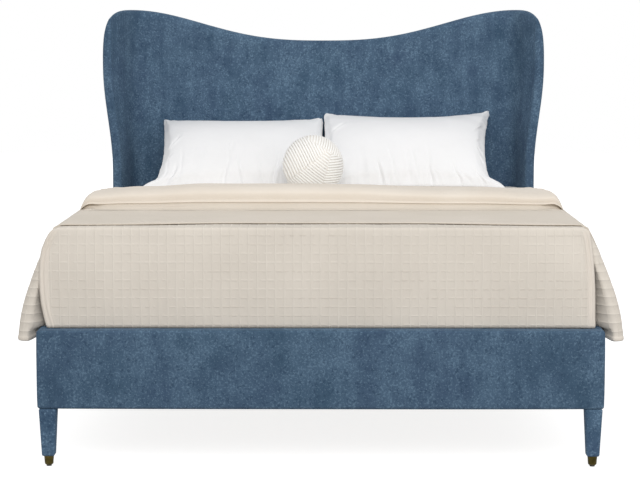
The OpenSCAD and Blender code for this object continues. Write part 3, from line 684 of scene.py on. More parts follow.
def skin_point(u, v):
    """A point of the skin: u along the slab, v up the inner face, over the top and down."""
    s = stations[round(u * (len(stations) - 1))]
    row = round(v * ROWS)
    side = -1 if s < 0 else 1
    s = abs(s)
    (ix, iy), (ox, oy), radius, depth = slab_ends(s, SWELL_HIGH)
    across = math.hypot(ox - ix, oy - iy)
    radius = min(radius, across / 2 + 1e-6, depth + NOSE if depth < NOSE else 1.0)
    if FACE_ROWS <= row <= FACE_ROWS + TOP_ROWS:
        share = (1 - math.cos(math.pi * (row - FACE_ROWS) / TOP_ROWS)) / 2
        x, y = mix(ix, ox, share), mix(iy, oy, share)
        edge = min(share, 1 - share) * across
        drop = max(rounding(edge, max(radius, 1e-5)), rounding(depth, NOSE))
        return side * x, y, top_edge(x) - drop
    inside = row < FACE_ROWS
    x = ix if inside else ox
    drop = max(max(radius, 1e-5), rounding(depth, NOSE))
    top = top_edge(x) - drop
    share = row / FACE_ROWS if inside else (ROWS - row) / FACE_ROWS
    z = mix(wing_z, top, share)
    inner, outer, _, _ = slab_ends(s, z)
    x, y = inner if inside else outer
    return side * x, y, z


skin = moved_grid(len(stations) - 1, ROWS, skin_point, closed=True)
close_ends(skin)
foot_block = rounded_box((-outer_x, face_y + 0.2 * MM, rail_z),
                         (outer_x, skin_back_y, wing_z - 1 * MM), 7 * MM, cuts=22)
finish_piece("headboard_cover", joined([skin, foot_block]), "frame", wing_velvet_painted_shade,
             ["headboard_padding", "wing_left", "wing_right"])

# %% [markdown]
# ## Rails and legs
#
# The rails are boards wrapped in thin padding and the same velvet, so their faces swell by a
# millimetre or two between rounded edges. Their velvet is a darker copy, with painted shade over
# all of it. The legs are covered too, and taper to a brass ferrule.

# %% Rails
RAIL_ROUND = 7 * MM
# The rails take the darker copy of the velvet, with painted shade over all of it.
for node, cuts, crown in (("side_rail_left", 26, 1.5), ("side_rail_right", 26, 1.5),
                          ("foot_rail", 30, 2)):
    cover = rounded_box(*box(node), RAIL_ROUND, cuts=cuts, crown=crown * MM)
    finish_piece(node + "_cover", cover, "frame", rail_velvet_painted_shade, [node])


# %% Legs
FOOT_SHARE = 37 / 51

for node in ("leg_foot_left", "leg_foot_right", "leg_head_left", "leg_head_right"):
    low, high = box(node)
    leg = rounded_box(low, high, 6 * MM, cuts=18)
    middle = (low + high) / 2
    for vert in leg.verts:
        keep = mix(FOOT_SHARE, 1.0, (vert.co.z - low.z) / (high.z - low.z))
        vert.co.x = middle.x + (vert.co.x - middle.x) * keep
        vert.co.y = middle.y + (vert.co.y - middle.y) * keep
    finish_piece(node + "_cover", leg, "frame", velvet, [node])

# %% [markdown]
# ## Mattress and fitted sheet
#
# The mattress is a block with rounded corners in plan and a cord of piping round its top and bottom
# edges. The fitted sheet is stretched over it, so it is smooth, with a few shallow wrinkles that
# run out from under the pillows, and a gathered hem low on the sides.

# %% Rounded plan
PLAN_R = 60 * MM


def plan_point(share, half_w, half_l, radius):
    """A point round a rounded rectangle, by its share of the way round."""
    radius = max(1e-5, min(radius, half_w, half_l))
    straight_w, straight_l = 2 * (half_w - radius), 2 * (half_l - radius)
    quarter = math.pi * radius / 2
    way = (share % 1.0) * (2 * (straight_w + straight_l) + 4 * quarter)
    for cx, cy, start, straight in ((1, -1, -90, straight_l), (1, 1, 0, straight_w),
                                    (-1, 1, 90, straight_l), (-1, -1, 180, straight_w)):
        centre = (cx * (half_w - radius), cy * (half_l - radius))
        if way <= quarter:
            angle = math.radians(start + 90 * way / quarter)
            return (centre[0] + radius * math.cos(angle), centre[1] + radius * math.sin(angle))
        way -= quarter
        if way <= straight:
            turn = math.radians(start + 90)
            return (centre[0] + radius * math.cos(turn) - way * math.sin(turn),
                    centre[1] + radius * math.sin(turn) + way * math.cos(turn))
        way -= straight
    return (half_w - radius, -half_l)


def plan_shell(centre, half_w, half_l, levels, around, top_rows, wrinkle=None, floor_rows=0):
    """A shell over a rounded plan: levels lists (inset, height), then the top closes inward."""
    first_inset, first_z = levels[0]
    last_inset, last_z = levels[-1]
    rows = floor_rows + len(levels) - 1 + top_rows

    def place(u, v):
        row = round(v * rows)
        if row < floor_rows:
            shrink, z = 1 - row / floor_rows, first_z
            inset = first_inset + (half_w - first_inset - 1e-4) * shrink
        elif row < floor_rows + len(levels):
            inset, z = levels[row - floor_rows]
        else:
            shrink = (row - floor_rows - len(levels) + 1) / top_rows
            inset, z = last_inset + (half_w - last_inset - 1e-4) * shrink, last_z
        x, y = plan_point(u, half_w - inset, half_l - inset, PLAN_R - inset)
        point = Vector((centre.x + x, centre.y + y, z))
        return wrinkle(point, x, y) if wrinkle else point

    return moved_grid(around, rows, place, flat=lambda u, v: (7 * u, 3 * v), closed=True)


# %% Mattress
middle = (mattress_low + mattress_high) / 2
half_w = (mattress_high.x - mattress_low.x) / 2
half_l = (mattress_high.y - mattress_low.y) / 2


def piped_side(low_z, high_z):
    """Levels of a mattress side with a cord of piping near its top and bottom."""
    cord = 4 * MM
    levels = [(9 * MM, low_z), (3 * MM, low_z + 3 * MM)]
    for base in (low_z + 8 * MM, high_z - 8 * MM):
        levels += [(3 * MM, base - cord), (0.6 * MM, base - cord * 0.6), (0, base),
                   (0.6 * MM, base + cord * 0.6), (3 * MM, base + cord)]
    return levels + [(4 * MM, high_z - 2 * MM), (12 * MM, high_z)]


core = plan_shell(middle, half_w, half_l, piped_side(mattress_low.z, mattress_high.z - 1 * MM),
                  120, 6, floor_rows=6)
mattress = finish_piece("mattress_ticking", core, "bedding", ticking, ["mattress"])

# %% Fitted sheet
SHEET_OUT = 2 * MM
SHEET_ROUND = 16 * MM
SHEET_THICK = 0.9 * MM


def sheet_wrinkle(point, x, y):
    """Shallow wrinkles on top, and a gathered hem low on the sides."""
    flow = wander(point.x * 7, point.y * 2.6, 3.1)
    fine = wander(point.x * 21, point.y * 9, 8.4)
    if point.z > bed_top - 4 * MM:
        point.z += min(0.0, 1.1 * MM * flow + 0.5 * MM * fine) - 0.2 * MM
    else:
        out = Vector((x / half_w, y / half_l, 0)).normalized()
        low = 1 - (point.z - sheet_low.z) / (bed_top - sheet_low.z)
        ripple = wander(point.x * 30, point.y * 30, 1.0)
        point += out * (1.4 * MM * low * ripple - 0.4 * MM * abs(flow))
    return point


sheet_levels = [(3.5 * MM, sheet_low.z), (0.5 * MM, sheet_low.z + 4 * MM),
                (1.5 * MM, sheet_low.z + 12 * MM)]
sheet_levels += [(0, mix(sheet_low.z + 20 * MM, bed_top - 22 * MM, k / 9)) for k in range(10)]
sheet_levels += [(SHEET_ROUND * (1 - math.cos(math.radians(a))),
                  bed_top - SHEET_ROUND + SHEET_ROUND * math.sin(math.radians(a)))
                 for a in (15, 35, 55, 75, 90)]
cover = plan_shell(middle, half_w + SHEET_OUT, half_l + SHEET_OUT, sheet_levels, 260, 46,
                   wrinkle=sheet_wrinkle)
fitted = finish_piece("fitted_cotton_sheet", cover, "bedding", sheet_cotton,
                      ["fitted_sheet"])
thicken(fitted, SHEET_THICK)

# %% [markdown]
# ## Quilt
#
# The quilt is one flat cloth. Over the bed it lies level, at each side it turns over the edge and
# hangs a hand's width away from the rail, and at the foot it drops behind the rail. Each hanging
# side ends in a corner that curls in towards the front panel. The cloth is drawn in flat
# coordinates: "across" runs from hem to hem and "along" from the head to the foot, both in metres,
# and a formula folds that cloth into place. Every 26 mm a woven line stands proud, so the grid has
# three columns at each line and one between.

# %% The quilt's outline across the bed
EDGE_X = mattress_high.x + 6 * MM
HEM_X = quilt_high.x + 3 * MM
QUILT_DROP = quilt_top - quilt_low.z
HEAD_Y = quilt_high.y
FRONT_Y = rail_in_y + 1 * MM
FRONT_ROUND = 9 * MM
HANG_BOW = 1.7


def hang_x(drop):
    """How far a hanging side stands from the middle, at a drop below the bed's top."""
    return EDGE_X + (HEM_X - EDGE_X) * (1 - max(0.0, 1 - drop / QUILT_DROP) ** HANG_BOW)


outline = [(0.0, quilt_top), (EDGE_X - 24 * MM, quilt_top),
           (EDGE_X - 10 * MM, quilt_top - 0.8 * MM)]
outline += [(hang_x(d), quilt_top - d - 1.2 * MM * (1 - d / QUILT_DROP)) for d in
            [QUILT_DROP * (k / 40) ** 1.5 for k in range(1, 41)]]
outline_way = [0.0]
for before, after in zip(outline, outline[1:]):
    outline_way.append(outline_way[-1] + math.dist(before, after))
CLOTH_HALF = outline_way[-1]
SHOULDER = EDGE_X - 4 * MM


def follow(way):
    """Place and outward direction at a distance along the outline from the bed's middle."""
    way = min(max(way, 0.0), CLOTH_HALF - 1e-6)
    k = max(i for i, w in enumerate(outline_way) if w <= way)
    (x0, z0), (x1, z1) = outline[k], outline[k + 1]
    share = (way - outline_way[k]) / (outline_way[k + 1] - outline_way[k])
    size = math.dist(outline[k], outline[k + 1])
    return mix(x0, x1, share), mix(z0, z1, share), -(z1 - z0) / size, (x1 - x0) / size


print("cloth from middle to hem:", round(CLOTH_HALF, 4), "m")

# %% Front panel and curled corners
EDGE_Z = (692, 684, 672, 657, 630, 593, 550, 511, 470, 430, 401)
EDGE_REACH = {-1: (772, 779, 787, 796, 807, 814, 816, 815, 811, 803, 794),
              1: (770, 774, 778, 782, 786, 790, 793, 795, 796, 796, 796)}
PANEL_EDGES = {side: list(zip(EDGE_Z, reach)) for side, reach in EDGE_REACH.items()}


def panel_edge(z, side):
    """How far the front panel reaches from the middle at a height, on the left or the right."""
    return from_table(PANEL_EDGES[side], z / MM) * MM


SWAY = 5.5 * MM


def sway(y, z):
    """How far a hanging side swings out at a place: slow folds, deeper towards the hem."""
    low = min(1.0, max(0.0, (quilt_top - z) / QUILT_DROP)) ** 1.3
    calm = smooth_step(FRONT_Y, FRONT_Y + 0.28, y)
    folds = math.sin(y * 15.5 + 0.6) + 0.55 * math.sin(y * 31 + 2.1)
    return SWAY * low * calm * folds


CORNER_Y = FRONT_Y + 10 * MM
CORNER_ROUND = 30 * MM
CURL_ROOM = 90 * MM
CURL_BACK = 84 * MM
CURL_RISE = 8 * MM
BEHIND_PANEL = 22 * MM


def hanging_place(way, run, side):
    """A point of a hanging side: way is across the cloth, run is the distance from its head."""
    x, z, _, _ = follow(way)
    clear_of_rail = outer_x + 1.8 * MM if z < rail_top + 0.5 * MM else 0.0
    tuck = max(panel_edge(z, side) - BEHIND_PANEL, clear_of_rail)
    radius = min(CORNER_ROUND, max(6 * MM, x - tuck) * 0.55)
    straight = HEAD_Y - CORNER_Y - radius
    quarter = radius * math.pi / 2
    if run <= straight:
        y = HEAD_Y - run
        return x + sway(y, z), y, z
    bend = run - straight
    if bend < quarter:
        angle = bend / radius
        return x - radius * (1 - math.cos(angle)), CORNER_Y + radius * (1 - math.sin(angle)), z
    inward = min(1.0, (bend - quarter) / max(1e-6, CURL_ROOM - quarter + radius))
    lift = smooth_step(0, 1, inward) * smooth_step(rail_top - 4 * MM, rail_top - 30 * MM, z)
    return (mix(x - radius, tuck, inward), CORNER_Y + CURL_BACK * inward ** 1.5,
            z + CURL_RISE * lift)


# %% Raised lines
def woven_stations(start, end, near=0.003):
    """Places across the cloth: each raised line, its two sides, and the middle between."""
    found = [start, end]
    for k in range(math.ceil(start / PANE), math.floor(end / PANE) + 1):
        for at in (k * PANE - near, k * PANE, k * PANE + near, (k + 0.5) * PANE):
            if start + 0.001 < at < end - 0.001:
                found.append(at)
    return sorted(found)


def even_stations(start, end, step):
    count = max(1, round(abs(end - start) / step))
    return [mix(start, end, k / count) for k in range(count + 1)]


def lot(i, j):
    """A fixed share from 0 to 1 for a pair of whole numbers."""
    return math.modf(abs(math.sin(i * 12.9898 + j * 78.233)) * 43758.5453)[0]


LINE_RISE, DASH_RISE, CLOTH_WAVE = 0.9 * MM, 0.6 * MM, 1.1 * MM


def weave_height(across, along):
    """How far the woven pattern stands above the cloth."""
    line_gap = abs(across / PANE - round(across / PANE)) * PANE
    height = LINE_RISE * max(0.0, 1 - line_gap / 0.003)
    cross_gap = abs(along / PANE - round(along / PANE)) * PANE
    if lot(math.floor(across / PANE), round(along / PANE)) > 0.4:
        height = max(height, DASH_RISE * max(0.0, 1 - cross_gap / 0.004))
    return height + CLOTH_WAVE * wander(across * 9, along * 7, 5.0)


def cloth_grid(across, along, place):
    """A grid over lists of stations, laid by place(across, along)."""
    columns, rows = len(across) - 1, len(along) - 1

    def at(u, v):
        return across[round(u * columns)], along[round(v * rows)]

    return moved_grid(columns, rows, lambda u, v: place(*at(u, v)), flat=at)


# %% The quilt's top and front panel
LENGTH_TOP = HEAD_Y - FRONT_Y - FRONT_ROUND
ROUND_WAY = FRONT_ROUND * math.pi / 2
PANEL_DROP = quilt_top - FRONT_ROUND - (rail_top + 1 * MM)
STRETCHED = 70 * MM
HEM_BEADS = ((5 * MM, 4.6 * MM), (19 * MM, 3.4 * MM), (27 * MM, 1.6 * MM))
PANEL_SWELL = 9 * MM


def stretched(way, edge):
    """Near its side the cloth is stretched a little, so that the shoulder comes to the edge."""
    inner = SHOULDER - STRETCHED
    return way if way <= inner else mix(inner, edge, (way - inner) / (SHOULDER - inner))


def centre_place(across, along):
    """A point of the level top or of the front panel."""
    side = -1 if across < 0 else 1
    way = abs(across)
    if along <= LENGTH_TOP:
        x, z, _, _ = follow(way)
        return side * x, HEAD_Y - along, z
    if along <= LENGTH_TOP + ROUND_WAY:
        angle = (along - LENGTH_TOP) / FRONT_ROUND
        _, z, _, _ = follow(way)
        edge = mix(SHOULDER, panel_edge(quilt_top - FRONT_ROUND, side),
                   (along - LENGTH_TOP) / ROUND_WAY)
        return (side * stretched(way, edge), FRONT_Y + FRONT_ROUND * (1 - math.sin(angle)),
                z - FRONT_ROUND * (1 - math.cos(angle)))
    drop = along - LENGTH_TOP - ROUND_WAY
    z = quilt_top - FRONT_ROUND - drop
    half = panel_edge(z, side)
    x = stretched(way, half)
    edge = half - x
    bead = max([math.sqrt(max(0.0, r * r - (edge - at) ** 2)) for at, r in HEM_BEADS])
    settle = smooth_step(0, 0.03, drop)
    settle *= 1 - 0.6 * smooth_step(PANEL_DROP - 0.05, PANEL_DROP, drop)
    fall_back = 6 * MM * smooth_step(10 * MM, 0, edge)
    swell = PANEL_SWELL * math.sin(math.pi * min(1.0, drop / PANEL_DROP) ** 0.75)
    swell *= smooth_step(0, 0.08, edge)
    return side * x, FRONT_Y + settle * (2 * MM - bead + fall_back) - swell, z


def fine_edge(stations, from_end):
    """Adds close columns near both ends, for the beads of a hem."""
    end = stations[-1]
    kept = [s for s in stations if abs(s) < end - from_end]
    close = even_stations(end - from_end, end, 0.0017)
    return sorted([-s for s in close] + kept + close)


centre_across = fine_edge(mirrored(woven_stations(0, SHOULDER)), 0.03)
centre_along = (even_stations(0, LENGTH_TOP, PANE / 2)
                + even_stations(LENGTH_TOP, LENGTH_TOP + ROUND_WAY, 0.0035)[1:]
                + even_stations(LENGTH_TOP + ROUND_WAY, LENGTH_TOP + ROUND_WAY + PANEL_DROP,
                                PANE / 3)[1:])


def centre_height(across, along, _):
    """The weave, but none on the hems at both ends."""
    return 0.0 if abs(across) > SHOULDER - 0.03 else weave_height(across, along)


quilt_centre = cloth_grid(centre_across, centre_along, centre_place)
raise_points(quilt_centre, centre_height)
REVERSE, HEM = 1, 2
weave_map = quilt_centre.loops.layers.uv["cloth"]
for face in quilt_centre.faces:
    spots = [tuple(loop[weave_map].uv) for loop in face.loops]
    if min(v for _, v in spots) <= LENGTH_TOP + ROUND_WAY - 1e-4:
        continue
    if min(abs(u) for u, _ in spots) > SHOULDER - 0.0175:
        face.material_index = HEM
        continue
    for loop, (u, v) in zip(face.loops, spots):
        loop[weave_map].uv = (loop.vert.co.x, v)

# %% The quilt's hanging sides
hang_across = (woven_stations(SHOULDER, CLOTH_HALF - 16 * MM)
               + even_stations(CLOTH_HALF - 16 * MM, CLOTH_HALF, 2.3 * MM)[1:])
hang_along = (even_stations(0, HEAD_Y - CORNER_Y - 40 * MM, PANE / 2)
              + even_stations(HEAD_Y - CORNER_Y - 40 * MM, HEAD_Y - CORNER_Y + CURL_ROOM,
                              0.005)[1:])


HEM_WIDE, HEM_RISE = 14 * MM, 2 * MM


def hang_height(across, along, _):
    """The weave, and a bead along the hem."""
    from_hem = CLOTH_HALF - across
    if from_hem > HEM_WIDE:
        return weave_height(across, along) * smooth_step(SHOULDER, SHOULDER + 0.02, across)
    return HEM_RISE * math.sqrt(max(0.0, 1 - (2 * from_hem / HEM_WIDE - 1) ** 2))


def hanging_side(side):
    """The cloth that hangs on one side, curled corner included."""
    def place(across, along):
        x, y, z = hanging_place(across, along, side)
        return side * x, y, z
    bm = cloth_grid(hang_across, hang_along, place)
    face_along(bm, 0, side)
    raise_points(bm, hang_height)
    return bm


# %% The quilt's turned end
QUILT_THICK = 3.5 * MM
BAND_RISE = 6 * MM
BAND_EDGE = 7 * MM
BAND_WAY = SHOULDER + 104 * MM
LIP_Y = -941.5 * MM
BAND_END_Y = -0.2
LIP_BOW, LIP_SIDE, LIP_WAVE = 58 * MM, 34 * MM, 4 * MM


def lip_at(way):
    """Where the front edge of the turned end lies, at a distance from the middle."""
    wave = LIP_WAVE * wander(way * 4, 0.3, 7.7)
    return (LIP_Y - LIP_BOW * smooth_step(0.25, 0.70, way) + wave
            + LIP_SIDE * smooth_step(SHOULDER, BAND_WAY, way))


def band_place(across, back):
    """A point of the turned end: back is its share of the way from the front edge to the roll."""
    side = -1 if across < 0 else 1
    way = abs(across)
    x, z, nx, nz = follow(way)
    y = mix(lip_at(way), BAND_END_Y, back)
    edge = min(y - lip_at(way), BAND_WAY - way)
    lift = mix(4.6 * MM, BAND_RISE, math.sqrt(1 - (1 - min(1.0, edge / BAND_EDGE)) ** 2))
    lift += 1.6 * MM * smooth_step(0.004, 0.014, edge) * (1 - smooth_step(0.02, 0.06, edge))
    lift += 0.9 * MM * wander(across * 5, y * 11, 2.0) * smooth_step(0, 0.03, edge)
    slack = sway(y, z) if way > SHOULDER else 0.0
    return side * (x + nx * lift + slack), y, z + nz * lift


back_shares = sorted({0, 0.0015, 0.0035, 0.006, 0.0095, 0.014, 0.02, 0.03, 0.045, 0.065}
                     | {k / 40 for k in range(4, 41)})
band_across = mirrored(even_stations(0, BAND_WAY - 12 * MM, 0.02)
                       + even_stations(BAND_WAY - 12 * MM, BAND_WAY, 0.002)[1:])
band = cloth_grid(band_across, back_shares, band_place)
for face in band.faces:
    face.material_index = REVERSE
face_along(quilt_centre, 2)
face_along(band, 2)
sides = [hanging_side(-1), hanging_side(1)]
for part in sides:
    cloth = part.loops.layers.uv["cloth"]
    for face in part.faces:
        if face.loops[0][cloth].uv[0] > CLOTH_HALF - 15 * MM:
            face.material_index = HEM
quilt = finish_piece("quilt_cloth", joined([quilt_centre, band] + sides), "bedding",
                     [quilted, band_cotton, hem_cotton], ["quilt"])
thicken(quilt, QUILT_THICK)

# %% [markdown]
# ## Comforter
#
# Under the quilt lies a thick cream comforter. Its head end is folded back over the quilt, and the
# fold shows as a soft roll across the bed. The roll ends in a thin hem, and below the hem the
# quilt's grey-beige lining leans up against it, so that lower strip has the lining's colour. The
# roll is a closed outline seen from the side, carried across the bed, lower and rounder at its two
# ends.

# %% The folded end
comforter_high = box("comforter")[1]
CREST_Z = comforter_high.z
CREST_Y = rail_low.y + 633 * MM
FOLD_BACK_Y = comforter_high.y
FOLD_FRONT_Y = CREST_Y - 58 * MM
FOLD_HALF = mattress_high.x + 5 * MM
FOLD_FLOOR = turn_top + 0.6 * MM
FOLD_END = 46 * MM
LAYER_Z = bed_top + 0.3 * MM


def arc_points(cy, cz, ry, rz, start, end, count):
    return [(cy + ry * math.cos(math.radians(mix(start, end, k / count))),
             cz + rz * math.sin(math.radians(mix(start, end, k / count))))
            for k in range(count + 1)]


HEM_Z, STEP_Z, SECOND_Z = FOLD_FLOOR + 26.5 * MM, FOLD_FLOOR + 22 * MM, FOLD_FLOOR + 12 * MM
nose_mid = (CREST_Z + HEM_Z) / 2
fold_outline = arc_points(CREST_Y, nose_mid, CREST_Y - FOLD_FRONT_Y, CREST_Z - nose_mid,
                          90, 180, 12)
fold_outline += [(FOLD_FRONT_Y + 0.4 * MM, mix(nose_mid, HEM_Z, 0.3)),
                 (FOLD_FRONT_Y + 1.4 * MM, mix(nose_mid, HEM_Z, 0.6)),
                 (FOLD_FRONT_Y + 2.6 * MM, HEM_Z + 3.6 * MM)]
fold_outline += arc_points(FOLD_FRONT_Y + 3 * MM, HEM_Z, 3 * MM, 2.6 * MM, 130, 250, 5)
hem_count = len(fold_outline)
for base, back, up in ((STEP_Z, 4.6, 1), (STEP_Z, 4.4, -1.5), (SECOND_Z, 3.6, 6),
                       (SECOND_Z, 2.2, 3), (SECOND_Z, 1.2, 0.8), (SECOND_Z, 0.4, -1.2),
                       (SECOND_Z, -1, -4), (FOLD_FLOOR, -4, 4.6), (FOLD_FLOOR, -9, 2.2),
                       (FOLD_FLOOR, -18, 0.6), (FOLD_FLOOR, -30, -0.3)):
    fold_outline.append((FOLD_FRONT_Y + back * MM, base + up * MM))
slope_count = len(fold_outline)
fold_outline += [(FOLD_FRONT_Y + 6 * MM, FOLD_FLOOR - 0.4 * MM),
                 (FOLD_FRONT_Y + 34 * MM, FOLD_FLOOR)]
wrap_y = FOLD_BACK_Y - 15 * MM
fold_outline += [(mix(FOLD_FRONT_Y + 34 * MM, wrap_y, k / 12), FOLD_FLOOR) for k in range(1, 13)]
fold_outline += [(wrap_y + 1 * MM, mix(FOLD_FLOOR, LAYER_Z, k / 4)) for k in range(1, 4)]
fold_outline += [(wrap_y + 3 * MM, LAYER_Z + 1 * MM)]
fold_outline += arc_points(FOLD_BACK_Y - 14 * MM, LAYER_Z + 22 * MM, 14 * MM, 22 * MM, -60, 60, 8)
BACK_DROP = 62 * MM
back_z = CREST_Z - BACK_DROP
fold_outline += [(mix(FOLD_BACK_Y - 22 * MM, CREST_Y, k / 26),
                  mix(back_z, CREST_Z, smooth_step(-0.15, 1.0, k / 26)) +
                  2.5 * MM * math.sin(k * 0.9)) for k in range(27)][:-1]


# %% The fold laid across the bed
def sag_at(x):
    """How far the roll's crest has sunk: the right half lies lower than the left."""
    if x < 0:
        return (6 + 11 * smooth_step(0.36, 0.58, -x) + 10 * smooth_step(0.60, 0.72, -x)) * MM
    return (7 + 11 * smooth_step(0.05, 0.40, x) + 10 * smooth_step(0.50, 0.68, x)
            - 3 * smooth_step(0.70, 0.745, x)) * MM


END_LEAN, END_TILT, SOFT_WAVE, FINE_WAVE = 26 * MM, 5 * MM, 2.4 * MM, 0.9 * MM


def fold_point(share_x, share_ring):
    """A point of the roll: share_x across the bed, share_ring round its outline."""
    x = fold_x[round(share_x * (len(fold_x) - 1))]
    ring = round(share_ring * len(fold_outline)) % len(fold_outline)
    y, z = fold_outline[ring]
    if hem_count + 2 <= ring <= hem_count + 6:
        reach = 1 - 0.35 * abs(ring - hem_count - 4)
        y -= 3.2 * MM * reach * (1 - smooth_step(-0.46, -0.33, x)) * smooth_step(0.772, 0.74, -x)
    if hem_count <= ring < slope_count:
        y += 16 * MM * smooth_step(0.68, 0.735, abs(x))
    end = max(0.0, (abs(x) - (FOLD_HALF - FOLD_END)) / FOLD_END)
    keep = math.sqrt(max(0.0, 1 - end ** 2))
    sag = sag_at(x)
    up = max(0.0, z - FOLD_FLOOR)
    height = CREST_Z - FOLD_FLOOR
    tilt = END_TILT * smooth_step(0.70, 0.752, abs(x)) * (1 - smooth_step(0.752, 0.772, abs(x)))
    soft = wander(x * 3.2, y * 3.0, z * 9) * SOFT_WAVE
    fine = wander(x * 11, y * 7, z * 22) * FINE_WAVE
    if z > FOLD_FLOOR:
        z = FOLD_FLOOR + up * keep - sag * up / height + tilt * (1 - up / height)
        z += (soft + fine) * smooth_step(0.2, 0.9, up / height) * keep
    z -= 10 * MM * smooth_step(0.722, 0.766, abs(x)) * (1 - smooth_step(0, 60 * MM, z - FOLD_FLOOR))
    y += END_LEAN * (1 - keep) * (1 - smooth_step(CREST_Y, CREST_Y + 0.3, y))
    y += (soft * 1.2 + fine) * smooth_step(0.1, 0.5, up / height) * keep
    return x, y, z


fold_x = mirrored(even_stations(0, FOLD_HALF - FOLD_END, 0.016)
                  + [FOLD_HALF - FOLD_END + FOLD_END * math.sin(math.pi / 2 * k / 9)
                     for k in range(1, 10)])
fold = moved_grid(len(fold_x) - 1, len(fold_outline), fold_point,
                  flat=lambda u, v: (1.5 * u, 1.6 * v), closed=True)
fold_map = fold.loops.layers.uv["cloth"]
for face in fold.faces:
    rings = [loop[fold_map].uv[1] / 1.6 * len(fold_outline) for loop in face.loops]
    if hem_count - 0.5 < min(rings) < slope_count - 0.5:
        face.material_index = 1
close_ends(fold)
comforter_fold = finish_piece("comforter_fold", fold, "bedding",
                              [cream_cotton, band_cotton], ["comforter"])

# %% The level layer
LAYER_T = 24 * MM
SIDE_REACH = 190 * MM


def layer_point(u, v):
    """A point of the flat layer: round its section, and along the bed."""
    rim = math.sin(math.pi * min(1.0, 20 * v) / 2) * math.sin(math.pi * min(1.0, 20 * (1 - v)) / 2)
    ring = (u * 2) % 2
    top = ring <= 1
    share = ring if top else 2 - ring
    way = abs(share * 2 - 1) * (SHOULDER + SIDE_REACH)
    side = -1 if share < 0.5 else 1
    x, z, nx, nz = follow(way)
    thick = LAYER_T / 2 * math.sqrt(max(0.0, 1 - (way / (SHOULDER + SIDE_REACH)) ** 40)) * rim
    depth = 21.5 * MM + (-thick if top else thick)
    depth += 6 * MM * smooth_step(SHOULDER, SHOULDER + SIDE_REACH, way)
    y = mix(FRONT_Y + 30 * MM, FOLD_BACK_Y - 22 * MM, v)
    return side * (x - nx * depth), y, z - nz * depth


layer = moved_grid(220, 60, layer_point, flat=lambda u, v: (4 * u, 1.3 * v), closed=True)
close_ends(layer)
comforter_layer = finish_piece("comforter_layer", layer, "bedding",
                               cream_cotton, ["comforter"])

# %% [markdown]
# ## Pillows
#
# A pillow is two pieces of cotton sewn together at the rim and loosely stuffed. It leans back: the
# lower edge lies on the sheet and the upper edge rests on the headboard, so its plane is a slope
# and its four corners stand out as small ears. The formula gives that slack shape. Then the cloth
# simulation blows it up a little, with a limit on how far a point may move. Last come small puckers
# along the seam and the few creases that the photograph shows, each pressed in along its own line.

# %% Shape of a leaning pillow
PILLOW_W, PILLOW_H, PILLOW_T = 650 * MM, 460 * MM, 150 * MM
COLUMNS, ROWS_UP = 124, 84
SIM_STEPS = 18
SIM_CAP = 9 * MM
# Half widths in millimetres down the slope, from 1 at the upper edge to -1 at the lower edge.
DOWN = (1.0, 0.8, 0.3, 0.0, -0.3, -0.55, -0.7, -0.8, -0.88, -0.95, -1.0)
OUTER_WIDTHS = {-1: (313, 307, 299, 296, 299, 305, 311, 323, 341, 354, 356),
                1: (335, 325, 308, 303, 302, 304, 310, 322, 342, 355, 358)}
OUTER_HALF = {side: list(zip(DOWN, widths)) for side, widths in OUTER_WIDTHS.items()}
INNER_HALF = ((1.0, 330), (0.8, 330), (0.0, 328), (-0.8, 327), (-1.0, 327))
# How many millimetres the upper edge is raised at its left corner, middle and right corner.
EDGE_LIFT = {-1: (8, -5, 15), 1: (-4, -29, 8)}


def half_width(v, outer, side):
    """Half the pillow's width at a height: the outer lower corner is spread the most."""
    return from_table(OUTER_HALF[side] if outer else INNER_HALF, v) * MM


def leaning_point(u, v, upper, low, high, side):
    """A point of a pillow: u across and v up the slope, each from -1 to 1."""
    ear = (abs(u) * abs(v)) ** 6
    tip = smooth_step(0.90, 1.0, abs(u)) * smooth_step(0.86, 1.0, v)
    x = u * (half_width(v, u * side > 0, side) - 7 * MM * tip)
    start = Vector((0, low.y + 4 * MM, low.z + 17 * MM))
    end = Vector((0, high.y - 4 * MM, high.z - 1 * MM))
    slope = (end - start).normalized()
    normal = Vector((0, -slope.z, slope.y))
    droop = 15 * MM * (1 - u ** 2) * v ** 2 * (1 if v > 0 else 0.3) - 5 * MM * ear
    along = start + (end - start) * ((v + 1) / 2) + slope * (v * 5 * MM * ear) - slope * droop * v
    bulge = max(0.0, 1 - v ** 2) ** 0.82 * max(0.0, 1 - abs(u) ** 3.2) ** 0.6
    rise = (0.56 if upper else -0.52) * PILLOW_T * bulge
    left, middle, right = EDGE_LIFT[side]
    lift = mix(middle, left if u < 0 else right, abs(u) ** 2.2) * MM * ((v + 1) / 2) ** 2.5
    p = along + normal * rise + Vector((0, 0, lift - 4 * MM * tip))
    return Vector((x, p.y, p.z))


def pillow_case(low, high, side):
    """Both faces of a pillow, sewn together at the rim."""
    faces = []
    for upper in (True, False):
        def place(u, v):
            return leaning_point(2 * u - 1, 2 * v - 1, upper, low, high, side)
        faces.append(moved_grid(COLUMNS, ROWS_UP, place,
                                flat=lambda u, v: (u * PILLOW_W, v * PILLOW_H)))
    case = joined(faces)
    bmesh.ops.remove_doubles(case, verts=case.verts, dist=0.0002)
    bmesh.ops.recalc_face_normals(case, faces=case.faces)
    if case.calc_volume(signed=True) < 0:
        bmesh.ops.reverse_faces(case, faces=case.faces)
    return case


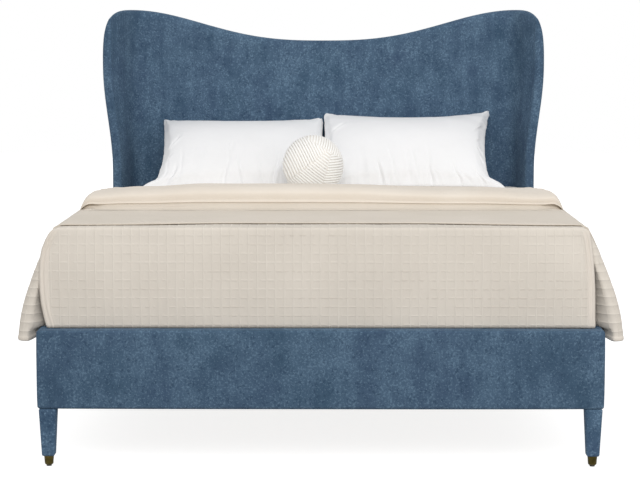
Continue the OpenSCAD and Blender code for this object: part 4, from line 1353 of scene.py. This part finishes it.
# %% Blowing up
def blow_up(case, pressure, name):
    """Moves the case as the cloth simulation does, but no point further than the cap."""
    start = [v.co.copy() for v in case.verts]
    mesh = bpy.data.meshes.new(name)
    case.to_mesh(mesh)
    holder = added(name, mesh)
    scene = bpy.context.scene
    cloth = holder.modifiers.new("cloth", "CLOTH")
    for setting, value in (("quality", 5), ("mass", 0.3), ("tension_stiffness", 15),
                           ("compression_stiffness", 15), ("shear_stiffness", 5),
                           ("bending_stiffness", 0.2), ("shrink_min", -0.02),
                           ("use_pressure", True), ("uniform_pressure_force", pressure)):
        setattr(cloth.settings, setting, value)
    cloth.settings.effector_weights.gravity = 0
    cloth.collision_settings.use_self_collision = False
    cloth.point_cache.frame_start = 1
    cloth.point_cache.frame_end = SIM_STEPS
    for step in range(1, SIM_STEPS + 1):
        scene.frame_set(step)
    settled = holder.evaluated_get(bpy.context.evaluated_depsgraph_get())
    moved = [v.co.copy() for v in settled.data.vertices]
    scene.frame_set(1)
    bpy.data.objects.remove(holder)
    bpy.data.meshes.remove(mesh)
    furthest = 0.0
    for vert, before, after in zip(case.verts, start, moved):
        step = after - before
        furthest = max(furthest, step.length)
        vert.co = before + step * min(1.0, SIM_CAP / max(step.length, 1e-9))
    print(name, "moved up to", round(furthest / MM, 1), "mm, cap", SIM_CAP / MM)


# %% Creases and seam
# Creases of each pillow: from and to as shares of its width and height, then half width and
# depth in millimetres.
CREASE_GAIN = 1.3
CREASES = {-1: ((0.137, 0.00, 0.133, 0.20, 5.5, 5), (0.43, 0.00, 0.445, 0.21, 5.5, 6),
                (0.525, 0.00, 0.50, 0.18, 5, 5), (0.70, 0.00, 0.74, 0.24, 6, 7),
                (0.785, 0.00, 0.745, 0.22, 5.5, 5), (0.47, 0.40, 0.465, 0.30, 5, 2.5),
                (0.05, 0.42, 0.13, 0.56, 5.5, 5), (0.04, 0.26, 0.09, 0.34, 5, 3)),
           1: ((0.35, 0.00, 0.31, 0.21, 5.5, 7), (0.62, 0.00, 0.615, 0.21, 5.5, 6),
               (0.77, 0.00, 0.76, 0.19, 5.5, 5), (0.89, 0.00, 0.885, 0.17, 5, 4),
               (0.06, 0.62, 0.14, 0.72, 5.5, 5), (0.97, 0.70, 0.91, 0.58, 5, 4),
               (0.975, 0.52, 0.92, 0.46, 5, 4), (0.98, 0.36, 0.93, 0.40, 5, 4),
               (0.98, 0.24, 0.94, 0.31, 5, 3))}


def crease_depth(u, v, side):
    """How far the creases push the cotton in, with a low ridge along one side of each."""
    depth = 0.0
    for u0, v0, u1, v1, half, deep in CREASES[side]:
        start = Vector((u0 * PILLOW_W, v0 * PILLOW_H))
        run = Vector((u1 * PILLOW_W, v1 * PILLOW_H)) - start
        here = Vector((u * PILLOW_W, v * PILLOW_H)) - start
        share = here.dot(run) / run.length_squared
        if not -0.2 < share < 1.2:
            continue
        beside = (here.x * run.y - here.y * run.x) / run.length / (half * MM)
        fade = smooth_step(-0.15, 0.25, share) * smooth_step(1.15, 0.5, share)
        groove = math.exp(-beside ** 2) - 0.6 * math.exp(-((beside - 1.8) / 1.2) ** 2)
        depth += CREASE_GAIN * deep * MM * groove * fade
    return depth


PUCKER, SOFT_FOLD, CORNER_FOLD = 3.4 * MM, 4 * MM, 6 * MM


def gather_seam(case, side, seed):
    """Small puckers that run in from the seam, the set creases, and soft ones between them."""
    def height(u, v, normal):
        u, v = u / PILLOW_W, v / PILLOW_H
        rim_u, rim_v = min(u, 1 - u) * PILLOW_W, min(v, 1 - v) * PILLOW_H
        at = u * PILLOW_W if rim_v < rim_u else v * PILLOW_H
        rim = min(rim_u, rim_v)
        beat = wander(at * 62, seed, 0.5)
        beat += 0.5 * wander(at * 140, seed, 4.5)
        pucker = PUCKER * beat * smooth_step(0.0, 0.006, rim) * (1 - smooth_step(0.01, 0.05, rim))
        fold = wander(u * 13, v * 1.6, seed * 1.7) * (1 - smooth_step(0.05, 0.55, v))
        line = abs(wander(u * 11 + v, v * 0.9, seed * 2.3))
        fold -= 0.9 * max(0.0, 1 - line * 9) * (1 - smooth_step(0.2, 0.42, v))
        corner = wander(u * 5 + v * 9, u * 1.2 - v, seed + 9.0)
        reach = (abs(2 * u - 1) * abs(2 * v - 1)) ** 1.2
        on_top = smooth_step(-0.1, 0.3, normal.z - normal.y)
        return (pucker + SOFT_FOLD * fold * smooth_step(0, 0.03, rim)
                + CORNER_FOLD * corner * reach * smooth_step(0, 0.04, rim)
                - crease_depth(u, v, side) * on_top)

    raise_points(case, height)


# %% The two pillows
def stuffed_pillow(name, side, centre_x, seed):
    node = "pillow_" + name
    low, high = box(node)
    shape = pillow_case(low, high, side)
    blow_up(shape, 4.0, node + "_case")
    gather_seam(shape, side, seed)
    for vert in shape.verts:
        vert.co.x += centre_x
        vert.co.z = max(vert.co.z, low.z + 0.2 * MM)
        vert.co.y = min(vert.co.y, high.y - 0.2 * MM)
    piece = finish_piece(node + "_stuffed", shape, node, pillow_cotton, [node])
    finer = piece.modifiers.new("finer", "SUBSURF")
    finer.levels = finer.render_levels = 1


stuffed_pillow("left", -1, -PILLOW_W / 2 + 3 * MM, 4)
stuffed_pillow("right", 1, PILLOW_W / 2 - 1 * MM, 9)

# %% [markdown]
# ## Ball cushion
#
# The ball is wound from thick cream yarn, like a ball of wool. Each turn is a thin ring that lies
# on the ball. Turns side by side make a band, and bands wound round different axes cross each
# other, the later ones on top.

# %% Wound ball
ball_low, ball_high = box("ball_cushion")
ball_centre = (ball_low + ball_high) / 2
BALL_R = (ball_high.x - ball_low.x) / 2
YARN_R = 4.7 * MM
YARN_PITCH = 9.3 * MM
HEART_DEPTH = 4.6 * MM
# Slope of the turns, lean towards the foot, and where the band shows: a direction and its reach.
BANDS = ((39, 0.10, None), (66, -0.10, (-0.62, 0.78, 0.12)), (2, 0.06, (0.961, -0.275, 0.46)),
         (-62, 0.15, (0.50, 0.866, 0.70)))
DIVE = 7 * MM
YARN_SIDES, YARN_STEPS = 6, 84


def shown_share(out, rank):
    """1 where a band lies on top of the ball in direction out, 0 where another one covers it."""
    def within(k):
        right, up, reach = BANDS[k][2]
        return right * out.x + up * out.z - reach
    shown = smooth_step(-0.03, 0.01, within(rank)) if rank else 1.0
    for later in range(rank + 1, len(BANDS)):
        shown *= 1 - smooth_step(0.0, 0.05, within(later))
    return shown


def yarn_turn(rank, offset):
    """One ring of yarn of a band, at an offset from the ball's middle."""
    slope, lean, _ = BANDS[rank]
    axis = (math.sin(math.radians(slope)), -lean, math.cos(math.radians(slope)))
    ring_r = math.sqrt(max(1e-6, (BALL_R - YARN_R) ** 2 - offset ** 2))
    bm = bmesh.new()
    made = bmesh.ops.create_circle(bm, segments=YARN_SIDES, radius=YARN_R)
    turn = Matrix.Rotation(math.radians(90), 3, "X")
    bmesh.ops.transform(bm, matrix=turn.to_4x4(), verts=made["verts"])
    bmesh.ops.translate(bm, vec=(ring_r, 0, 0), verts=made["verts"])
    bmesh.ops.spin(bm, geom=bm.verts[:] + bm.edges[:], axis=(0, 0, 1), cent=(0, 0, 0),
                   dvec=(0, 0, 0), angle=math.tau, steps=YARN_STEPS, use_merge=True)
    bmesh.ops.translate(bm, vec=(0, 0, offset), verts=bm.verts)
    tilt = Vector(axis).normalized().to_track_quat("Z", "Y").to_matrix()
    bmesh.ops.transform(bm, matrix=tilt.to_4x4(), verts=bm.verts)
    bmesh.ops.recalc_face_normals(bm, faces=bm.faces)
    highest = 0.0
    for vert in bm.verts:
        out = vert.co.normalized()
        shown = shown_share(out, rank)
        highest = max(highest, shown)
        vert.co -= out * DIVE * (1 - shown)
    return bm if highest > 0.5 else None


last = int((BALL_R - YARN_R - 2 * MM) / YARN_PITCH)
turns = [yarn_turn(rank, k * YARN_PITCH) for rank in range(len(BANDS))
         for k in range(-last, last + 1)]
turns = [turn for turn in turns if turn]
heart = bmesh.new()
bmesh.ops.create_icosphere(heart, subdivisions=4, radius=BALL_R - HEART_DEPTH)
# Painted shade: the yarn turns darker in the grooves between the turns, by depth below the ball's
# outside.
from_middle = yarn.node("ShaderNodeVectorMath", {"Vector": yarn.coords()}, operation="DISTANCE")
from_middle.inputs[1].default_value = ball_centre
groove = yarn.spread(from_middle.outputs["Value"], BALL_R - 4.2 * MM, BALL_R - 1.2 * MM, 1.0, 0.0)
yarn.set(Base_Color=yarn.blend(groove, yarn.colour, tone(238, 234, 228)))
print("turns of yarn:", len(turns))
wound = joined(turns + [heart])
bmesh.ops.translate(wound, vec=ball_centre, verts=wound.verts)
ball = finish_piece("ball_of_yarn", wound, "ball_cushion", yarn, ["ball_cushion"])

# %% [markdown]
# ## Floor
#
# A pale floor catches a soft shadow under the bed. Seen by the camera it is white, so that the
# photograph's plain ground is there, and everything else sees a pale grey that doesn't glare.

# %% Floor
floor_recipe = Recipe("studio_floor", 0.9)
bm = bmesh.new()
bmesh.ops.create_grid(bm, x_segments=1, y_segments=1, size=FLOOR_HALF)
floor_mesh = bpy.data.meshes.new("studio_floor")
bm.to_mesh(floor_mesh)
bm.free()
floor = added("studio_floor", floor_mesh)
floor_mesh.materials.append(floor_recipe.material)
floor_recipe.set(Base_Color=FLOOR_TONE, Emission_Color=(1, 1, 1, 1),
                 Emission_Strength=white_to_camera(floor_recipe, 0.0, FLOOR_GLOW))
